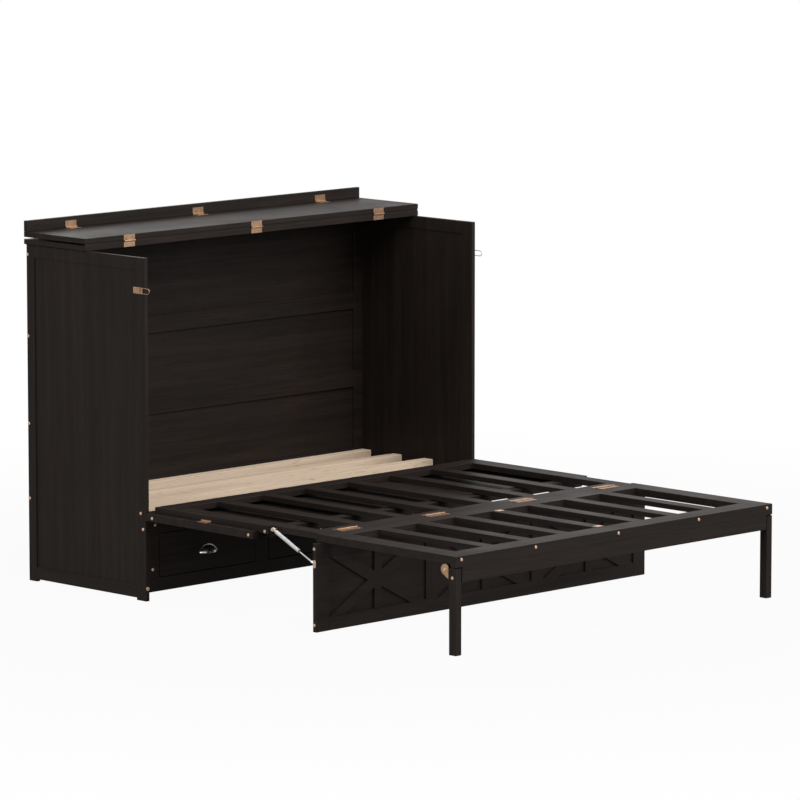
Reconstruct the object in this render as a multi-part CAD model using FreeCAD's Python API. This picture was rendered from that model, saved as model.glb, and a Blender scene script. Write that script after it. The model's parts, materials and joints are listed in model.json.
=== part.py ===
"""Chest bed, open: a drawer cabinet with a three-part folding platform, a lid and a brace panel.

X runs across the width, +Y points to the wall behind the cabinet, +Z is up. Inside this script Y is zero at
the cabinet's front plane; every solid is moved back by SHIFT_Y as it is written, so that the origin of the
finished part is the middle of its footprint on the floor. All lengths are millimetres.
"""
import FreeCAD
import Part
import math
import os

from FreeCAD import Vector

# Cabinet sides
CABINET_WIDTH = 1604.0
CABINET_DEPTH = 605.0
SIDE_THICK = 16.0
SIDE_INFILL_THICK = 8.0
SIDE_FRONT_STILE = 48.0
SIDE_REAR_STILE = 40.0
SIDE_TOP_RAIL = 44.0
SIDE_BOTTOM_RAIL = 42.0
FOOT_HEIGHT = 8.0
EASE = 1.0

# Back
BACK_DEPTH = 42.0
POST_WIDTH = 41.0
BACK_RAIL_THICK = 22.0
BACK_RAIL_HEIGHT = 62.0
BACK_RAIL_COUNT = 3
BACK_TOP_DROP = 7.0
BACK_INFILL_THICK = 6.0
BACK_INFILL_RECESS = 8.0

# Fixed top and lid
TOP_THICK = 18.0
TOP_SIDE_OVERHANG = 4.0
TOP_REAR_OVERHANG = 7.0
LID_FRONT_OVERHANG = 31.0
TOP_CLEAR = 70.0
LID_GAP = 7.0
LID_CLOSED_GAP = 0.5
BUMPER_RADIUS = 8.0
BUMPER_INSET_X = 90.0
BUMPER_INSET_Y = 30.0
FASCIA_THICK = 15.0
FASCIA_HEIGHT = 38.0
FASCIA_GAP = 0.5

# Hinges in general
KNUCKLE_SHARE = 0.34
KNUCKLE_GAP = 0.4
PIN_RADIUS = 1.5
PIN_PLAY = 0.06
LEAF_CLEAR = 0.6
HINGE_WIDTH = 51.0

# Lid hinges and fascia hinges
LID_LEAF_THICK = 2.0
LID_LEAF_HEIGHT = 17.0
LID_KNUCKLE_RADIUS = 3.4
LID_PIN_FORWARD = 3.5
LID_HINGE_INSET = 202.0
FASCIA_KNUCKLE_RADIUS = 2.6
FASCIA_PIN_OFFSET = 3.2
FASCIA_LEAF_THICK = 1.6
FASCIA_LEAF_UP = 19.0
FASCIA_LEAF_BACK = 22.0

# Face frame and drawers
FACE_THICK = 20.0
BASE_RAIL_BOTTOM = 29.0
BASE_RAIL_TOP = 76.0
CROSS_RAIL_BOTTOM = 230.0
CROSS_RAIL_TOP = 306.0
END_STILE = 46.0
MID_STILE = 62.0
DRAWER_COUNT = 3
DRAWER_GAP = 2.0
DRAWER_FRONT_THICK = 18.0
DRAWER_REAR_GAP = 45.0
DRAWER_BOX_HEIGHT = 112.0
DRAWER_BOX_UP = 6.0
DRAWER_SIDE_THICK = 12.0
DRAWER_SIDE_GAP = 6.0
DRAWER_BOTTOM_THICK = 6.0
DRAWER_BOTTOM_UP = 6.0
PARTITION_THICK = 18.0
BOTTOM_BOARD_THICK = 12.0
BOTTOM_BOARD_DROP = 4.0
RUNNER_WIDTH = 20.0
RUNNER_PLAY = 0.3

# Cup pulls
PULL_HALF_WIDTH = 40.0
PULL_DEPTH = 25.0
PULL_WALL = 2.2
PULL_LIP = 4.0
PULL_PLATE = 2.0

# Pine beams and their ledgers
BEAM_WIDTH = 45.0
BEAM_HEIGHT = 42.0
BEAM_TOP = 300.0
BEAM_FIRST_Y = 197.0
BEAM_REAR_GAP = 2.0
BEAM_COUNT = 3
BEAM_END_GAP = 0.5
LEDGER_THICK = 22.0
LEDGER_HEIGHT = 42.0

# Platform, both folding sections
PLATFORM_TOP = 326.0
SLAT_THICK = 18.0
SLAT_WIDTH = 52.0
FOLD_REACH = 805.0
FOLD_GAP = 1.0

# Middle section
MIDDLE_REAR_GAP = 20.0
MIDDLE_THICK = 21.0
MIDDLE_SIDE_GAP = 31.0
MIDDLE_SIDE_RAIL = 54.0
MIDDLE_REAR_RAIL = 65.0
MIDDLE_FRONT_RAIL = 60.0
MIDDLE_SLATS = 6
STRIP_WIDTH = 22.0
BLOCK_LENGTH = 48.0
BLOCK_HEIGHT = 27.0
BLOCK_BOLT_DOWN = 20.0
BLOCK_BOLT_SHARE = 0.66

# Lower front panel under the middle section
PANEL_THICK = 26.0
PANEL_FRONT_GAP = 3.0
PANEL_REAR_GAP = 1.0
PANEL_END_STILE = 59.0
PANEL_REAR_RAIL = 60.0
PANEL_FRONT_RAIL = 47.0
PANEL_INFILL_THICK = 8.0
PANEL_RECESS = 7.0
PANEL_BOLT_REAR = 31.0
PANEL_BOLT_FRONT = 22.0
PANEL_BOLT_DOWN = 14.0

# Angle brackets between the middle section and the lower panel
ANGLE_THICK = 2.0
ANGLE_WIDTH = 30.0
ANGLE_FOOT = 12.0
ANGLE_INSET = 34.0
ANGLE_SHARES = (-1.0, -0.25, 0.25, 1.0)
SIDE_ANGLE_WIDTH = 66.0
SIDE_ANGLE_FORWARD = 285.0
SIDE_ANGLE_UP = 13.0
SIDE_ANGLE_FOOT = 20.0

# Hinges between the cabinet and the lower panel
PLATFORM_PIN_FORWARD = 4.0
PLATFORM_KNUCKLE_RADIUS = 3.0
PLATFORM_LEAF_THICK = 2.0
PLATFORM_LEAF_BACK = 18.0
PLATFORM_LEAF_DOWN = 20.0
PLATFORM_HINGE_INSET = 242.0
MORTISE_GAP = 0.3

# Hinges between the middle and the foot section
FOLD_HINGE_WIDTH = 92.0
FOLD_PIN_UP = 2.8
FOLD_KNUCKLE_RADIUS = 2.4
FOLD_LEAF_THICK = 1.6
FOLD_LEAF_LENGTH = 22.0
FOLD_HINGE_INSET = 127.0
FOLD_HINGE_SHARES = (-1.0, -0.34, 0.34, 1.0)

# Foot section
FOOT_THICK = 26.0
FOOT_SIDE_GAP = 14.0
FOOT_LENGTH = 648.0
FOOT_SIDE_RAIL = 80.0
FOOT_REAR_RAIL = 84.0
FOOT_FRONT_RAIL = 59.0
FOOT_SLATS = 7
APRON_THICK = 24.0
APRON_BOTTOM = 239.0
APRON_JOINT = 289.0
APRON_BOLT_DOWN = 12.0
APRON_BOLT_INSET = 27.0
APRON_BOLT_SHARES = (-1.0, -0.534, 0.0, 0.534, 1.0)
SLAT_PLATE_WIDTH = 28.0
SLAT_PLATE_LENGTH = 22.0
SLAT_PLATE_THICK = 1.5

# Legs and their catches
LEG_X = 27.0
LEG_Y = 31.0
LEG_END_GAP = 3.0
LEG_TOP_GAP = 1.0
LEG_PIVOT_Z = 255.0
LEG_BOLT_RADIUS = 3.5
LEG_BOLT_LENGTH = 70.0
LEG_BLOCK_LENGTH = 33.0
LEG_BLOCK_BOTTOM = 272.0
LEG_BLOCK_GAP = 1.0
CATCH_PIVOT_BACK = 16.0
CATCH_PIVOT_UP = 8.0
CATCH_THICK = 2.5
CATCH_GAP = 0.4
CATCH_RADIUS = 9.5
CATCH_TIP_RADIUS = 2.0
CATCH_TIP_FORWARD = 17.0
CATCH_TIP_DOWN = 29.0
CATCH_PIN_RADIUS = 3.0
CATCH_PIN_IN = 16.0

# Brace panel under the fold
BRACE_FORWARD = 31.0
BRACE_THICK = 18.0
BRACE_TOP = 298.2
BRACE_FLOOR_GAP = 1.0
BRACE_SIDE_GAP = 1.0
BRACE_RAIL = 47.0
BRACE_END_STILE = 59.0
BRACE_MID_STILE = 60.0
BRACE_INFILL_THICK = 8.0
BRACE_TRIM_THICK = 7.0
BRACE_BAR = 34.0
WINDOW_SIDE_SHARE = 0.79
WINDOW_TOP_SHARE = 0.61
WINDOW_RISE_SHARE = 0.72
BRACE_CAP_UP = 24.0
BRACE_CAP_DOWN = 18.0
BRACE_CAP_BACK = 11.0

# Pivots of the brace panel
BRACE_PIVOT_BACK = 12.5
BRACE_PIVOT_DOWN = 7.5
BRACE_PIVOT_INSET = 161.0
TONGUE_THICK = 4.0
TONGUE_RADIUS = 6.5
TONGUE_TOP_GAP = 0.5
TONGUE_REACH = 27.5
TONGUE_GAP = 1.0
TONGUE_WEB = 4.5
TONGUE_WEB_LENGTH = 20.0
TONGUE_FLANGE_THICK = 2.0
TONGUE_FLANGE_WIDTH = 30.0
TONGUE_PIN_RADIUS = 3.0
TONGUE_PIN_REACH = 16.0

# Gas springs
SPRING_OUT = 15.0
SPRING_UPPER_BACK = 208.0
SPRING_UPPER_Z = 316.0
SPRING_LOWER_BACK = 24.0
SPRING_LOWER_Z = 223.0
TUBE_RADIUS = 8.5
TUBE_START = 10.0
TUBE_END = 138.0
TUBE_NECK_RADIUS = 5.0
ROD_RADIUS = 4.0
ROD_START = 112.0
ROD_PLAY = 0.06
BORE_START = 42.0
EYE_RADIUS = 7.0
EYE_HALF = 4.0
STUD_RADIUS = 3.0
STUD_HEAD_RADIUS = 5.5
STUD_HEAD = 2.0
STUD_GAP = 0.5
SOCKET_GAP = 0.3
SOCKET_IN = 4.5
SOCKET_OUT = 5.0
EAR_GAP = 2.0
EAR_THICK = 3.0
EAR_RADIUS = 8.0
EAR_FLANGE = 30.0
EAR_FLANGE_THICK = 2.0

# Caps over bolts and screws
CAP_RADIUS = 5.5
CAP_HEIGHT = 1.5
REAR_CAP_INSET = 6.0
REAR_CAP_SHARES = (0.246, 0.469, 0.729, 0.970)
SIDE_CAPS = ((25.0, 302.0), (14.0, 248.0))
FACE_CAPS = ((31.0, 107.0), (43.0, 260.0))
FOOT_CAP_RADIUS = 7.0
FOOT_CAP_Z = 43.0

# Latches on the outer side faces and their strikes on the brace panel
LATCH_Y = 7.0
LATCH_LENGTH = 47.0
LATCH_HEIGHT = 22.0
LATCH_PLATE = 1.8
LATCH_PIN_BACK = 15.0
LATCH_PIN_OUT = 3.4
LATCH_BARREL_RADIUS = 2.4
LATCH_BARREL_HALF = 5.0
WIRE_RADIUS = 1.25
WIRE_REACH = 51.0
WIRE_HALF = 9.25
STRIKE_THICK = 1.6
STRIKE_RADIUS = 6.5
STRIKE_HALF = 7.0
STRIKE_DOWN = 68.0
STRIKE_STUD_RADIUS = 2.5
STRIKE_STUD = 3.0

# One overrun for every cut
OVER = 5.0

# Places that follow from the sizes
SIDES = (-1, 1)
HALF = CABINET_WIDTH / 2
INNER = HALF - SIDE_THICK
BACK_Y = CABINET_DEPTH - BACK_DEPTH
FOLD_Y = -FOLD_REACH
PLATFORM_PIN = (-PLATFORM_PIN_FORWARD, CROSS_RAIL_TOP + PLATFORM_KNUCKLE_RADIUS)
SIDE_HEIGHT = sum(PLATFORM_PIN) - FOLD_Y + TOP_CLEAR
BACK_RAIL_PITCH = (SIDE_HEIGHT - BACK_TOP_DROP - CROSS_RAIL_TOP) / BACK_RAIL_COUNT
TOP_HALF = HALF + TOP_SIDE_OVERHANG
TOP_REAR_Y = CABINET_DEPTH + TOP_REAR_OVERHANG
TOP_FRONT_Y = (TOP_REAR_Y - LID_FRONT_OVERHANG) / 2 + LID_PIN_FORWARD
TOP_UPPER = SIDE_HEIGHT + TOP_THICK
LID_BOTTOM = TOP_UPPER + LID_GAP
LID_UPPER = LID_BOTTOM + TOP_THICK
LID_PIN = (TOP_FRONT_Y - LID_PIN_FORWARD, (TOP_UPPER + LID_BOTTOM + LID_CLOSED_GAP) / 2)
LID_HINGE_X = (LID_HINGE_INSET - TOP_HALF, 0, TOP_HALF - LID_HINGE_INSET)
FASCIA_FRONT_Y = TOP_REAR_Y - FASCIA_THICK
FASCIA_PIN = (FASCIA_FRONT_Y - FASCIA_PIN_OFFSET, LID_UPPER + FASCIA_PIN_OFFSET)
FASCIA_BOTTOM = LID_UPPER + FASCIA_GAP
FOOT_FRONT_Y = FOLD_Y - FOOT_LENGTH
SHIFT_Y = -(TOP_REAR_Y + FOOT_FRONT_Y - CAP_HEIGHT) / 2
DRAWER_OPENING = (2 * INNER - 2 * END_STILE - (DRAWER_COUNT - 1) * MID_STILE) / DRAWER_COUNT
DRAWER_PITCH = DRAWER_OPENING + MID_STILE
DRAWER_BOX_DEPTH = BACK_Y - DRAWER_FRONT_THICK - DRAWER_REAR_GAP
BOARD_TOP = BASE_RAIL_TOP - BOTTOM_BOARD_DROP
BEAM_BOTTOM = BEAM_TOP - BEAM_HEIGHT
BEAM_PITCH = (BACK_Y - BEAM_REAR_GAP - BEAM_WIDTH - BEAM_FIRST_Y) / (BEAM_COUNT - 1)
MIDDLE_HALF_WIDTH = INNER - MIDDLE_SIDE_GAP
MIDDLE_REAR_Y = -MIDDLE_REAR_GAP
MIDDLE_BOTTOM = PLATFORM_TOP - MIDDLE_THICK
MIDDLE_FRONT_Y = FOLD_Y + FOLD_GAP / 2
STRIP_OUTER = MIDDLE_HALF_WIDTH + STRIP_WIDTH
PANEL_BOTTOM = MIDDLE_BOTTOM - PANEL_THICK
PANEL_REAR_Y = -PANEL_REAR_GAP
BRACE_FRONT_Y = FOLD_Y - BRACE_FORWARD
BRACE_REAR_Y = BRACE_FRONT_Y + BRACE_THICK
BRACE_HALF_WIDTH = HALF - BRACE_SIDE_GAP
BRACE_PIVOT = (BRACE_FRONT_Y + BRACE_PIVOT_BACK, BRACE_TOP - BRACE_PIVOT_DOWN)
BRACE_PIVOT_X = (BRACE_PIVOT_INSET - BRACE_HALF_WIDTH, 0, BRACE_HALF_WIDTH - BRACE_PIVOT_INSET)
PANEL_FRONT_Y = sum(BRACE_PIVOT) - BRACE_FLOOR_GAP + PANEL_FRONT_GAP
SIDE_ANGLE_Y = PANEL_REAR_Y - SIDE_ANGLE_FORWARD
PLATFORM_HINGE_X = (PLATFORM_HINGE_INSET - HALF, 0, HALF - PLATFORM_HINGE_INSET)
FOLD_PIN = (FOLD_Y, PLATFORM_TOP + FOLD_PIN_UP)
FOOT_HALF_WIDTH = INNER - FOOT_SIDE_GAP
FOOT_BOTTOM = PLATFORM_TOP - FOOT_THICK
FOOT_REAR_Y = FOLD_Y - FOLD_GAP / 2
APRON_REAR_Y = FOOT_FRONT_Y + APRON_THICK
LEG_INNER = FOOT_HALF_WIDTH - LEG_X
LEG_REAR_Y = FOOT_FRONT_Y + LEG_Y
LEG_PIVOT = (FOOT_FRONT_Y + LEG_Y / 2, LEG_PIVOT_Z)
LEG_TOP = APRON_JOINT - LEG_TOP_GAP
LEG_BLOCK_Y = LEG_REAR_Y + LEG_BLOCK_GAP
CATCH_PIVOT = (LEG_REAR_Y + CATCH_PIVOT_BACK, LEG_BLOCK_BOTTOM + CATCH_PIVOT_UP)
SPRING_X = MIDDLE_HALF_WIDTH + SPRING_OUT
SPRING_UPPER_Y = FOLD_Y + SPRING_UPPER_BACK
SPRING_UPPER = (SPRING_UPPER_Y, SPRING_UPPER_Z)
SPRING_LOWER = (BRACE_REAR_Y + SPRING_LOWER_BACK, SPRING_LOWER_Z)
SPRING_LENGTH = math.dist(SPRING_UPPER, SPRING_LOWER)
SPRING_ANGLE = math.degrees(math.atan2(SPRING_UPPER[1] - SPRING_LOWER[1], SPRING_UPPER[0] - SPRING_LOWER[0]))
EAR_INNER = MIDDLE_HALF_WIDTH + EAR_GAP
LATCH_PIN = (HALF + LATCH_PIN_OUT, LATCH_Y + LATCH_PIN_BACK)
STRIKE_Z = BRACE_TOP - STRIKE_DOWN
LATCH_CENTRE_Z = STRIKE_Z + sum(PLATFORM_PIN) - sum(BRACE_PIVOT)
STRIKE_Y = (BRACE_FRONT_Y + BRACE_REAR_Y) / 2


def write(name, shapes):
    """One node: all solids of its shapes, moved back so that the origin is the middle of the footprint."""
    solids = [solid for shape in shapes for solid in shape.Solids]
    node = solids[0] if len(solids) == 1 else Part.makeCompound(solids)
    moved = node.copy()
    moved.translate(Vector(0, SHIFT_Y, 0))
    moved.exportStep("parts/" + name + ".step")


def span(centre, width):
    """The (low, high) pair of a width about its centre."""
    return (centre - width / 2, centre + width / 2)


def mirrored(pair, side):
    """A (low, high) pair of distances from the middle plane, put on one side of it."""
    return (side * pair[0], side * pair[1])


def box(x, y, z):
    """A block from three pairs of limits, each given in any order."""
    low = [min(pair) for pair in (x, y, z)]
    size = [max(pair) - min(pair) for pair in (x, y, z)]
    return Part.makeBox(size[0], size[1], size[2], Vector(low[0], low[1], low[2]))


def board(x, y, z):
    """A block whose four long edges are eased."""
    solid = box(x, y, z)
    longest = max(max(pair) - min(pair) for pair in (x, y, z))
    edges = [edge for edge in solid.Edges if abs(edge.Length - longest) < EASE]
    return solid.makeChamfer(EASE, edges[:4])


def rod_x(x, place, radius):
    """A round bar along X at a (y, z) place."""
    return Part.makeCylinder(radius, max(x) - min(x), Vector(min(x), place[0], place[1]), Vector(1, 0, 0))


def rod_y(y, x, z, radius):
    """A round bar along Y."""
    return Part.makeCylinder(radius, max(y) - min(y), Vector(x, min(y), z), Vector(0, 1, 0))


def rod_z(z, x, y, radius):
    """A round bar along Z."""
    return Part.makeCylinder(radius, max(z) - min(z), Vector(x, y, min(z)), Vector(0, 0, 1))


def plate_x(x, points):
    """An outline of (y, z) points, as thick as the (low, high) pair along X."""
    corners = [Vector(min(x), y, z) for y, z in points]
    face = Part.Face(Part.makePolygon(corners + corners[:1]))
    return face.extrude(Vector(max(x) - min(x), 0, 0))


def plate_y(y, points):
    """An outline of (x, z) points, as thick as the (low, high) pair along Y."""
    corners = [Vector(x, min(y), z) for x, z in points]
    face = Part.Face(Part.makePolygon(corners + corners[:1]))
    return face.extrude(Vector(0, max(y) - min(y), 0))


def joined(solids):
    """Several overlapping solids made into one."""
    return solids[0].fuse(solids[1:]).removeSplitter()


def cap_x(side, face, place, radius):
    """A low cap with a bevelled rim on a face square to X, at a (y, z) place."""
    flat = rod_x(mirrored((face, face + CAP_HEIGHT / 2), side), place, radius)
    crown = Part.makeCone(radius, radius - CAP_HEIGHT / 2, CAP_HEIGHT / 2,
                          Vector(side * (face + CAP_HEIGHT / 2), place[0], place[1]), Vector(side, 0, 0))
    return joined([flat, crown])


def cap_y(face, x, z, radius):
    """A low cap with a bevelled rim on a face that looks to -Y."""
    flat = rod_y((face - CAP_HEIGHT / 2, face), x, z, radius)
    crown = Part.makeCone(radius, radius - CAP_HEIGHT / 2, CAP_HEIGHT / 2,
                          Vector(x, face - CAP_HEIGHT / 2, z), Vector(0, -1, 0))
    return joined([flat, crown])


def hinge_outer(centre, width, pin, radius, plate, neck):
    """Half of a butt hinge: a leaf with the two outer knuckles and the pin."""
    middle = width * KNUCKLE_SHARE / 2
    pieces = [box(span(centre, width), plate[0], plate[1])]
    for side in SIDES:
        x = (centre + side * middle, centre + side * width / 2)
        pieces.append(rod_x(x, pin, radius))
        pieces.append(box(x, neck[0], neck[1]))
    pieces.append(rod_x(span(centre, width), pin, PIN_RADIUS))
    return joined(pieces)


def hinge_inner(centre, width, pin, radius, plate, neck):
    """The other half of a butt hinge: a leaf with the middle knuckle, bored to turn on the pin."""
    x = span(centre, width * KNUCKLE_SHARE - 2 * KNUCKLE_GAP)
    pieces = [box(span(centre, width), plate[0], plate[1]), rod_x(x, pin, radius), box(x, neck[0], neck[1])]
    return joined(pieces).cut(rod_x(x, pin, PIN_RADIUS + PIN_PLAY))


def side_panels():
    """Each side: two stiles that stand on the floor, two rails and a recessed infill."""
    infills = []
    recess = (SIDE_THICK - SIDE_INFILL_THICK) / 2
    between = (SIDE_FRONT_STILE, CABINET_DEPTH - SIDE_REAR_STILE)
    lower = (FOOT_HEIGHT, FOOT_HEIGHT + SIDE_BOTTOM_RAIL)
    upper = (SIDE_HEIGHT - SIDE_TOP_RAIL, SIDE_HEIGHT)
    for side, name in zip(SIDES, ("left", "right")):
        x = mirrored((INNER, HALF), side)
        front = board(x, (0, between[0]), (0, SIDE_HEIGHT))
        rear = board(x, (between[1], CABINET_DEPTH), (0, SIDE_HEIGHT))
        write("side_frame_" + name, [front, rear, board(x, between, upper), board(x, between, lower)])
        infills.append(box(mirrored((INNER + recess, HALF - recess), side), between, (lower[1], upper[0])))
    return infills


def back_levels():
    """The (bottom, top) pairs of the back's rails, from the lowest up."""
    levels = [(FOOT_HEIGHT, FOOT_HEIGHT + SIDE_BOTTOM_RAIL)]
    for step in range(BACK_RAIL_COUNT):
        top = CROSS_RAIL_TOP + step * BACK_RAIL_PITCH
        levels.append((top - BACK_RAIL_HEIGHT, top))
    levels.append((SIDE_HEIGHT - BACK_TOP_DROP - BACK_RAIL_HEIGHT, SIDE_HEIGHT))
    return levels


def back():
    """Rear corner posts, rails between them and thin recessed infills."""
    reach = INNER - POST_WIDTH
    levels = back_levels()
    rail_y = (BACK_Y, BACK_Y + BACK_RAIL_THICK)
    frame = [board(mirrored((reach, INNER), side), (BACK_Y, CABINET_DEPTH), (FOOT_HEIGHT, SIDE_HEIGHT))
             for side in SIDES]
    frame += [board((-reach, reach), rail_y, level) for level in levels]
    write("back_frame", frame)
    infill_y = (BACK_Y + BACK_INFILL_RECESS, BACK_Y + BACK_INFILL_RECESS + BACK_INFILL_THICK)
    return [box((-reach, reach), infill_y, (low[1], high[0])) for low, high in zip(levels, levels[1:])]


def fixed_top():
    """The rear half of the top, and the bumpers on it that carry the opened lid."""
    write("fixed_top", [board((-TOP_HALF, TOP_HALF), (TOP_FRONT_Y, TOP_REAR_Y), (SIDE_HEIGHT, TOP_UPPER))])
    bumpers = []
    for side in SIDES:
        x = side * (TOP_HALF - BUMPER_INSET_X)
        for y in (TOP_FRONT_Y + BUMPER_INSET_Y, TOP_REAR_Y - BUMPER_INSET_Y):
            bumpers.append(rod_z((TOP_UPPER, LID_BOTTOM), x, y, BUMPER_RADIUS))
    write("lid_bumpers", bumpers)


def lid_and_fascia():
    """The lid, turned over on the fixed top, and the strip that stands at its edge."""
    x = (-TOP_HALF, TOP_HALF)
    write("lid_board", [board(x, (TOP_FRONT_Y, TOP_REAR_Y), (LID_BOTTOM, LID_UPPER))])
    strip_z = (FASCIA_BOTTOM, FASCIA_BOTTOM + FASCIA_HEIGHT)
    write("fascia_strip", [board(x, (FASCIA_FRONT_Y, TOP_REAR_Y), strip_z)])


def lid_hinges():
    """Three butt hinges on the front edges of the fixed top and the lid."""
    clear = LID_KNUCKLE_RADIUS + LEAF_CLEAR
    y = (TOP_FRONT_Y - LID_LEAF_THICK, TOP_FRONT_Y)
    pin_z = LID_PIN[1]
    lower = (y, (pin_z - clear - LID_LEAF_HEIGHT, pin_z - clear))
    upper = (y, (pin_z + clear, pin_z + clear + LID_LEAF_HEIGHT))
    write("lid_hinge_fixed_leaves", [
        hinge_outer(x, HINGE_WIDTH, LID_PIN, LID_KNUCKLE_RADIUS, lower, (y, (pin_z - clear, pin_z)))
        for x in LID_HINGE_X])
    write("lid_hinge_moving_leaves", [
        hinge_inner(x, HINGE_WIDTH, LID_PIN, LID_KNUCKLE_RADIUS, upper, (y, (pin_z, pin_z + clear)))
        for x in LID_HINGE_X])


def fascia_hinges():
    """Three butt hinges in the corner between the lid's upper face and the fascia strip."""
    clear = FASCIA_KNUCKLE_RADIUS + LEAF_CLEAR
    pin_y, pin_z = FASCIA_PIN
    flat_z = (LID_UPPER, LID_UPPER + FASCIA_LEAF_THICK)
    upright_y = (FASCIA_FRONT_Y - FASCIA_LEAF_THICK, FASCIA_FRONT_Y)
    flat = ((pin_y - clear - FASCIA_LEAF_BACK, pin_y - clear), flat_z)
    upright = (upright_y, (pin_z + clear, pin_z + clear + FASCIA_LEAF_UP))
    write("fascia_hinge_lid_leaves", [
        hinge_outer(x, HINGE_WIDTH, FASCIA_PIN, FASCIA_KNUCKLE_RADIUS, flat, ((pin_y - clear, pin_y), flat_z))
        for x in LID_HINGE_X])
    write("fascia_hinge_moving_leaves", [
        hinge_inner(x, HINGE_WIDTH, FASCIA_PIN, FASCIA_KNUCKLE_RADIUS, upright,
                    (upright_y, (pin_z, pin_z + clear)))
        for x in LID_HINGE_X])


def face_frame():
    """Base rail, cross rail and four stiles round the three drawer bays."""
    y = (0, FACE_THICK)
    solids = [board((-INNER, INNER), y, (BASE_RAIL_BOTTOM, BASE_RAIL_TOP)),
              board((-INNER, INNER), y, (CROSS_RAIL_BOTTOM, CROSS_RAIL_TOP))]
    z = (BASE_RAIL_TOP, CROSS_RAIL_BOTTOM)
    for side in SIDES:
        solids.append(board(mirrored((INNER - END_STILE, INNER), side), y, z))
        solids.append(board(span(side * DRAWER_PITCH / 2, MID_STILE), y, z))
    write("face_frame", solids)


def drawer_bays():
    """Bottom board, two partitions that also carry the beams, and a pair of runners in each bay."""
    y = (FACE_THICK, BACK_Y)
    write("bottom_board", [box((-INNER, INNER), y, (BOARD_TOP - BOTTOM_BOARD_THICK, BOARD_TOP))])
    write("drawer_partitions", [
        box(span(side * DRAWER_PITCH / 2, PARTITION_THICK), y, (BOARD_TOP, BEAM_BOTTOM)) for side in SIDES])
    runners = []
    box_half = DRAWER_OPENING / 2 - DRAWER_SIDE_GAP
    runner_z = (BOARD_TOP, BASE_RAIL_TOP + DRAWER_GAP + DRAWER_BOX_UP - RUNNER_PLAY)
    for bay in (-1, 0, 1):
        for side in SIDES:
            centre = bay * DRAWER_PITCH + side * (box_half - DRAWER_SIDE_THICK / 2)
            runners.append(box(span(centre, RUNNER_WIDTH), y, runner_z))
    write("drawer_runners", runners)


def arch(half_width, height, wall):
    """A flat arched band in the XZ plane, thinner by the wall inside, with its feet on the X axis."""
    outer = Part.Arc(Vector(-half_width, 0, 0), Vector(0, 0, height), Vector(half_width, 0, 0)).toShape()
    inside = half_width - wall
    inner = Part.Arc(Vector(-inside, 0, 0), Vector(0, 0, height - wall), Vector(inside, 0, 0)).toShape()
    feet = [Part.makeLine(Vector(side * half_width, 0, 0), Vector(side * inside, 0, 0)) for side in SIDES]
    return Part.Face(Part.Wire(Part.__sortEdges__([outer, inner] + feet)))


def cup_pull(centre_x, base_z):
    """A hood open downwards: an arched wall turned a quarter round the long axis, with a rim on the board."""
    section = arch(PULL_HALF_WIDTH, PULL_DEPTH - PULL_WALL, PULL_WALL)
    section.translate(Vector(0, 0, PULL_WALL))
    hood = section.revolve(Vector(0, 0, 0), Vector(1, 0, 0), 90)
    rim = arch(PULL_HALF_WIDTH + PULL_LIP, PULL_DEPTH + PULL_LIP, PULL_LIP + PULL_WALL)
    pull = joined([hood, rim.extrude(Vector(0, -PULL_PLATE, 0))])
    pull.translate(Vector(centre_x, 0, base_z))
    return pull


def drawers():
    """Three drawers: an inset front with a cup pull, and a box of two sides, a back and a bottom."""
    front_z = (BASE_RAIL_TOP + DRAWER_GAP, CROSS_RAIL_BOTTOM - DRAWER_GAP)
    box_y = (DRAWER_FRONT_THICK, DRAWER_FRONT_THICK + DRAWER_BOX_DEPTH)
    box_z = (front_z[0] + DRAWER_BOX_UP, front_z[0] + DRAWER_BOX_UP + DRAWER_BOX_HEIGHT)
    box_half = DRAWER_OPENING / 2 - DRAWER_SIDE_GAP
    inside = box_half - DRAWER_SIDE_THICK
    bottom_z = (box_z[0] + DRAWER_BOTTOM_UP, box_z[0] + DRAWER_BOTTOM_UP + DRAWER_BOTTOM_THICK)
    back_y = (box_y[1] - DRAWER_SIDE_THICK, box_y[1])
    for bay, name in zip((-1, 0, 1), ("left", "middle", "right")):
        centre = bay * DRAWER_PITCH
        front_x = span(centre, DRAWER_OPENING - 2 * DRAWER_GAP)
        write("drawer_front_" + name, [board(front_x, (0, DRAWER_FRONT_THICK), front_z)])
        walls = [box((centre + side * inside, centre + side * box_half), box_y, box_z) for side in SIDES]
        rear = box(span(centre, 2 * inside), back_y, box_z)
        bottom = box(span(centre, 2 * inside), (box_y[0], back_y[0]), bottom_z)
        write("drawer_box_" + name, walls + [rear, bottom])
        pull_z = sum(front_z) / 2 - (PULL_DEPTH + PULL_LIP) / 2
        write("drawer_pull_" + name, [cup_pull(centre, pull_z)])


def beams():
    """Three bare pine beams across the cabinet and the ledgers under their ends."""
    x = (BEAM_END_GAP - INNER, INNER - BEAM_END_GAP)
    solids = []
    for place in range(BEAM_COUNT):
        y = BEAM_FIRST_Y + place * BEAM_PITCH
        solids.append(board(x, (y, y + BEAM_WIDTH), (BEAM_BOTTOM, BEAM_TOP)))
    write("pine_beams", solids)
    z = (BEAM_BOTTOM - LEDGER_HEIGHT, BEAM_BOTTOM)
    write("beam_ledgers", [board(mirrored((INNER - LEDGER_THICK, INNER), side), (FACE_THICK, BACK_Y), z)
                           for side in SIDES])


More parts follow.
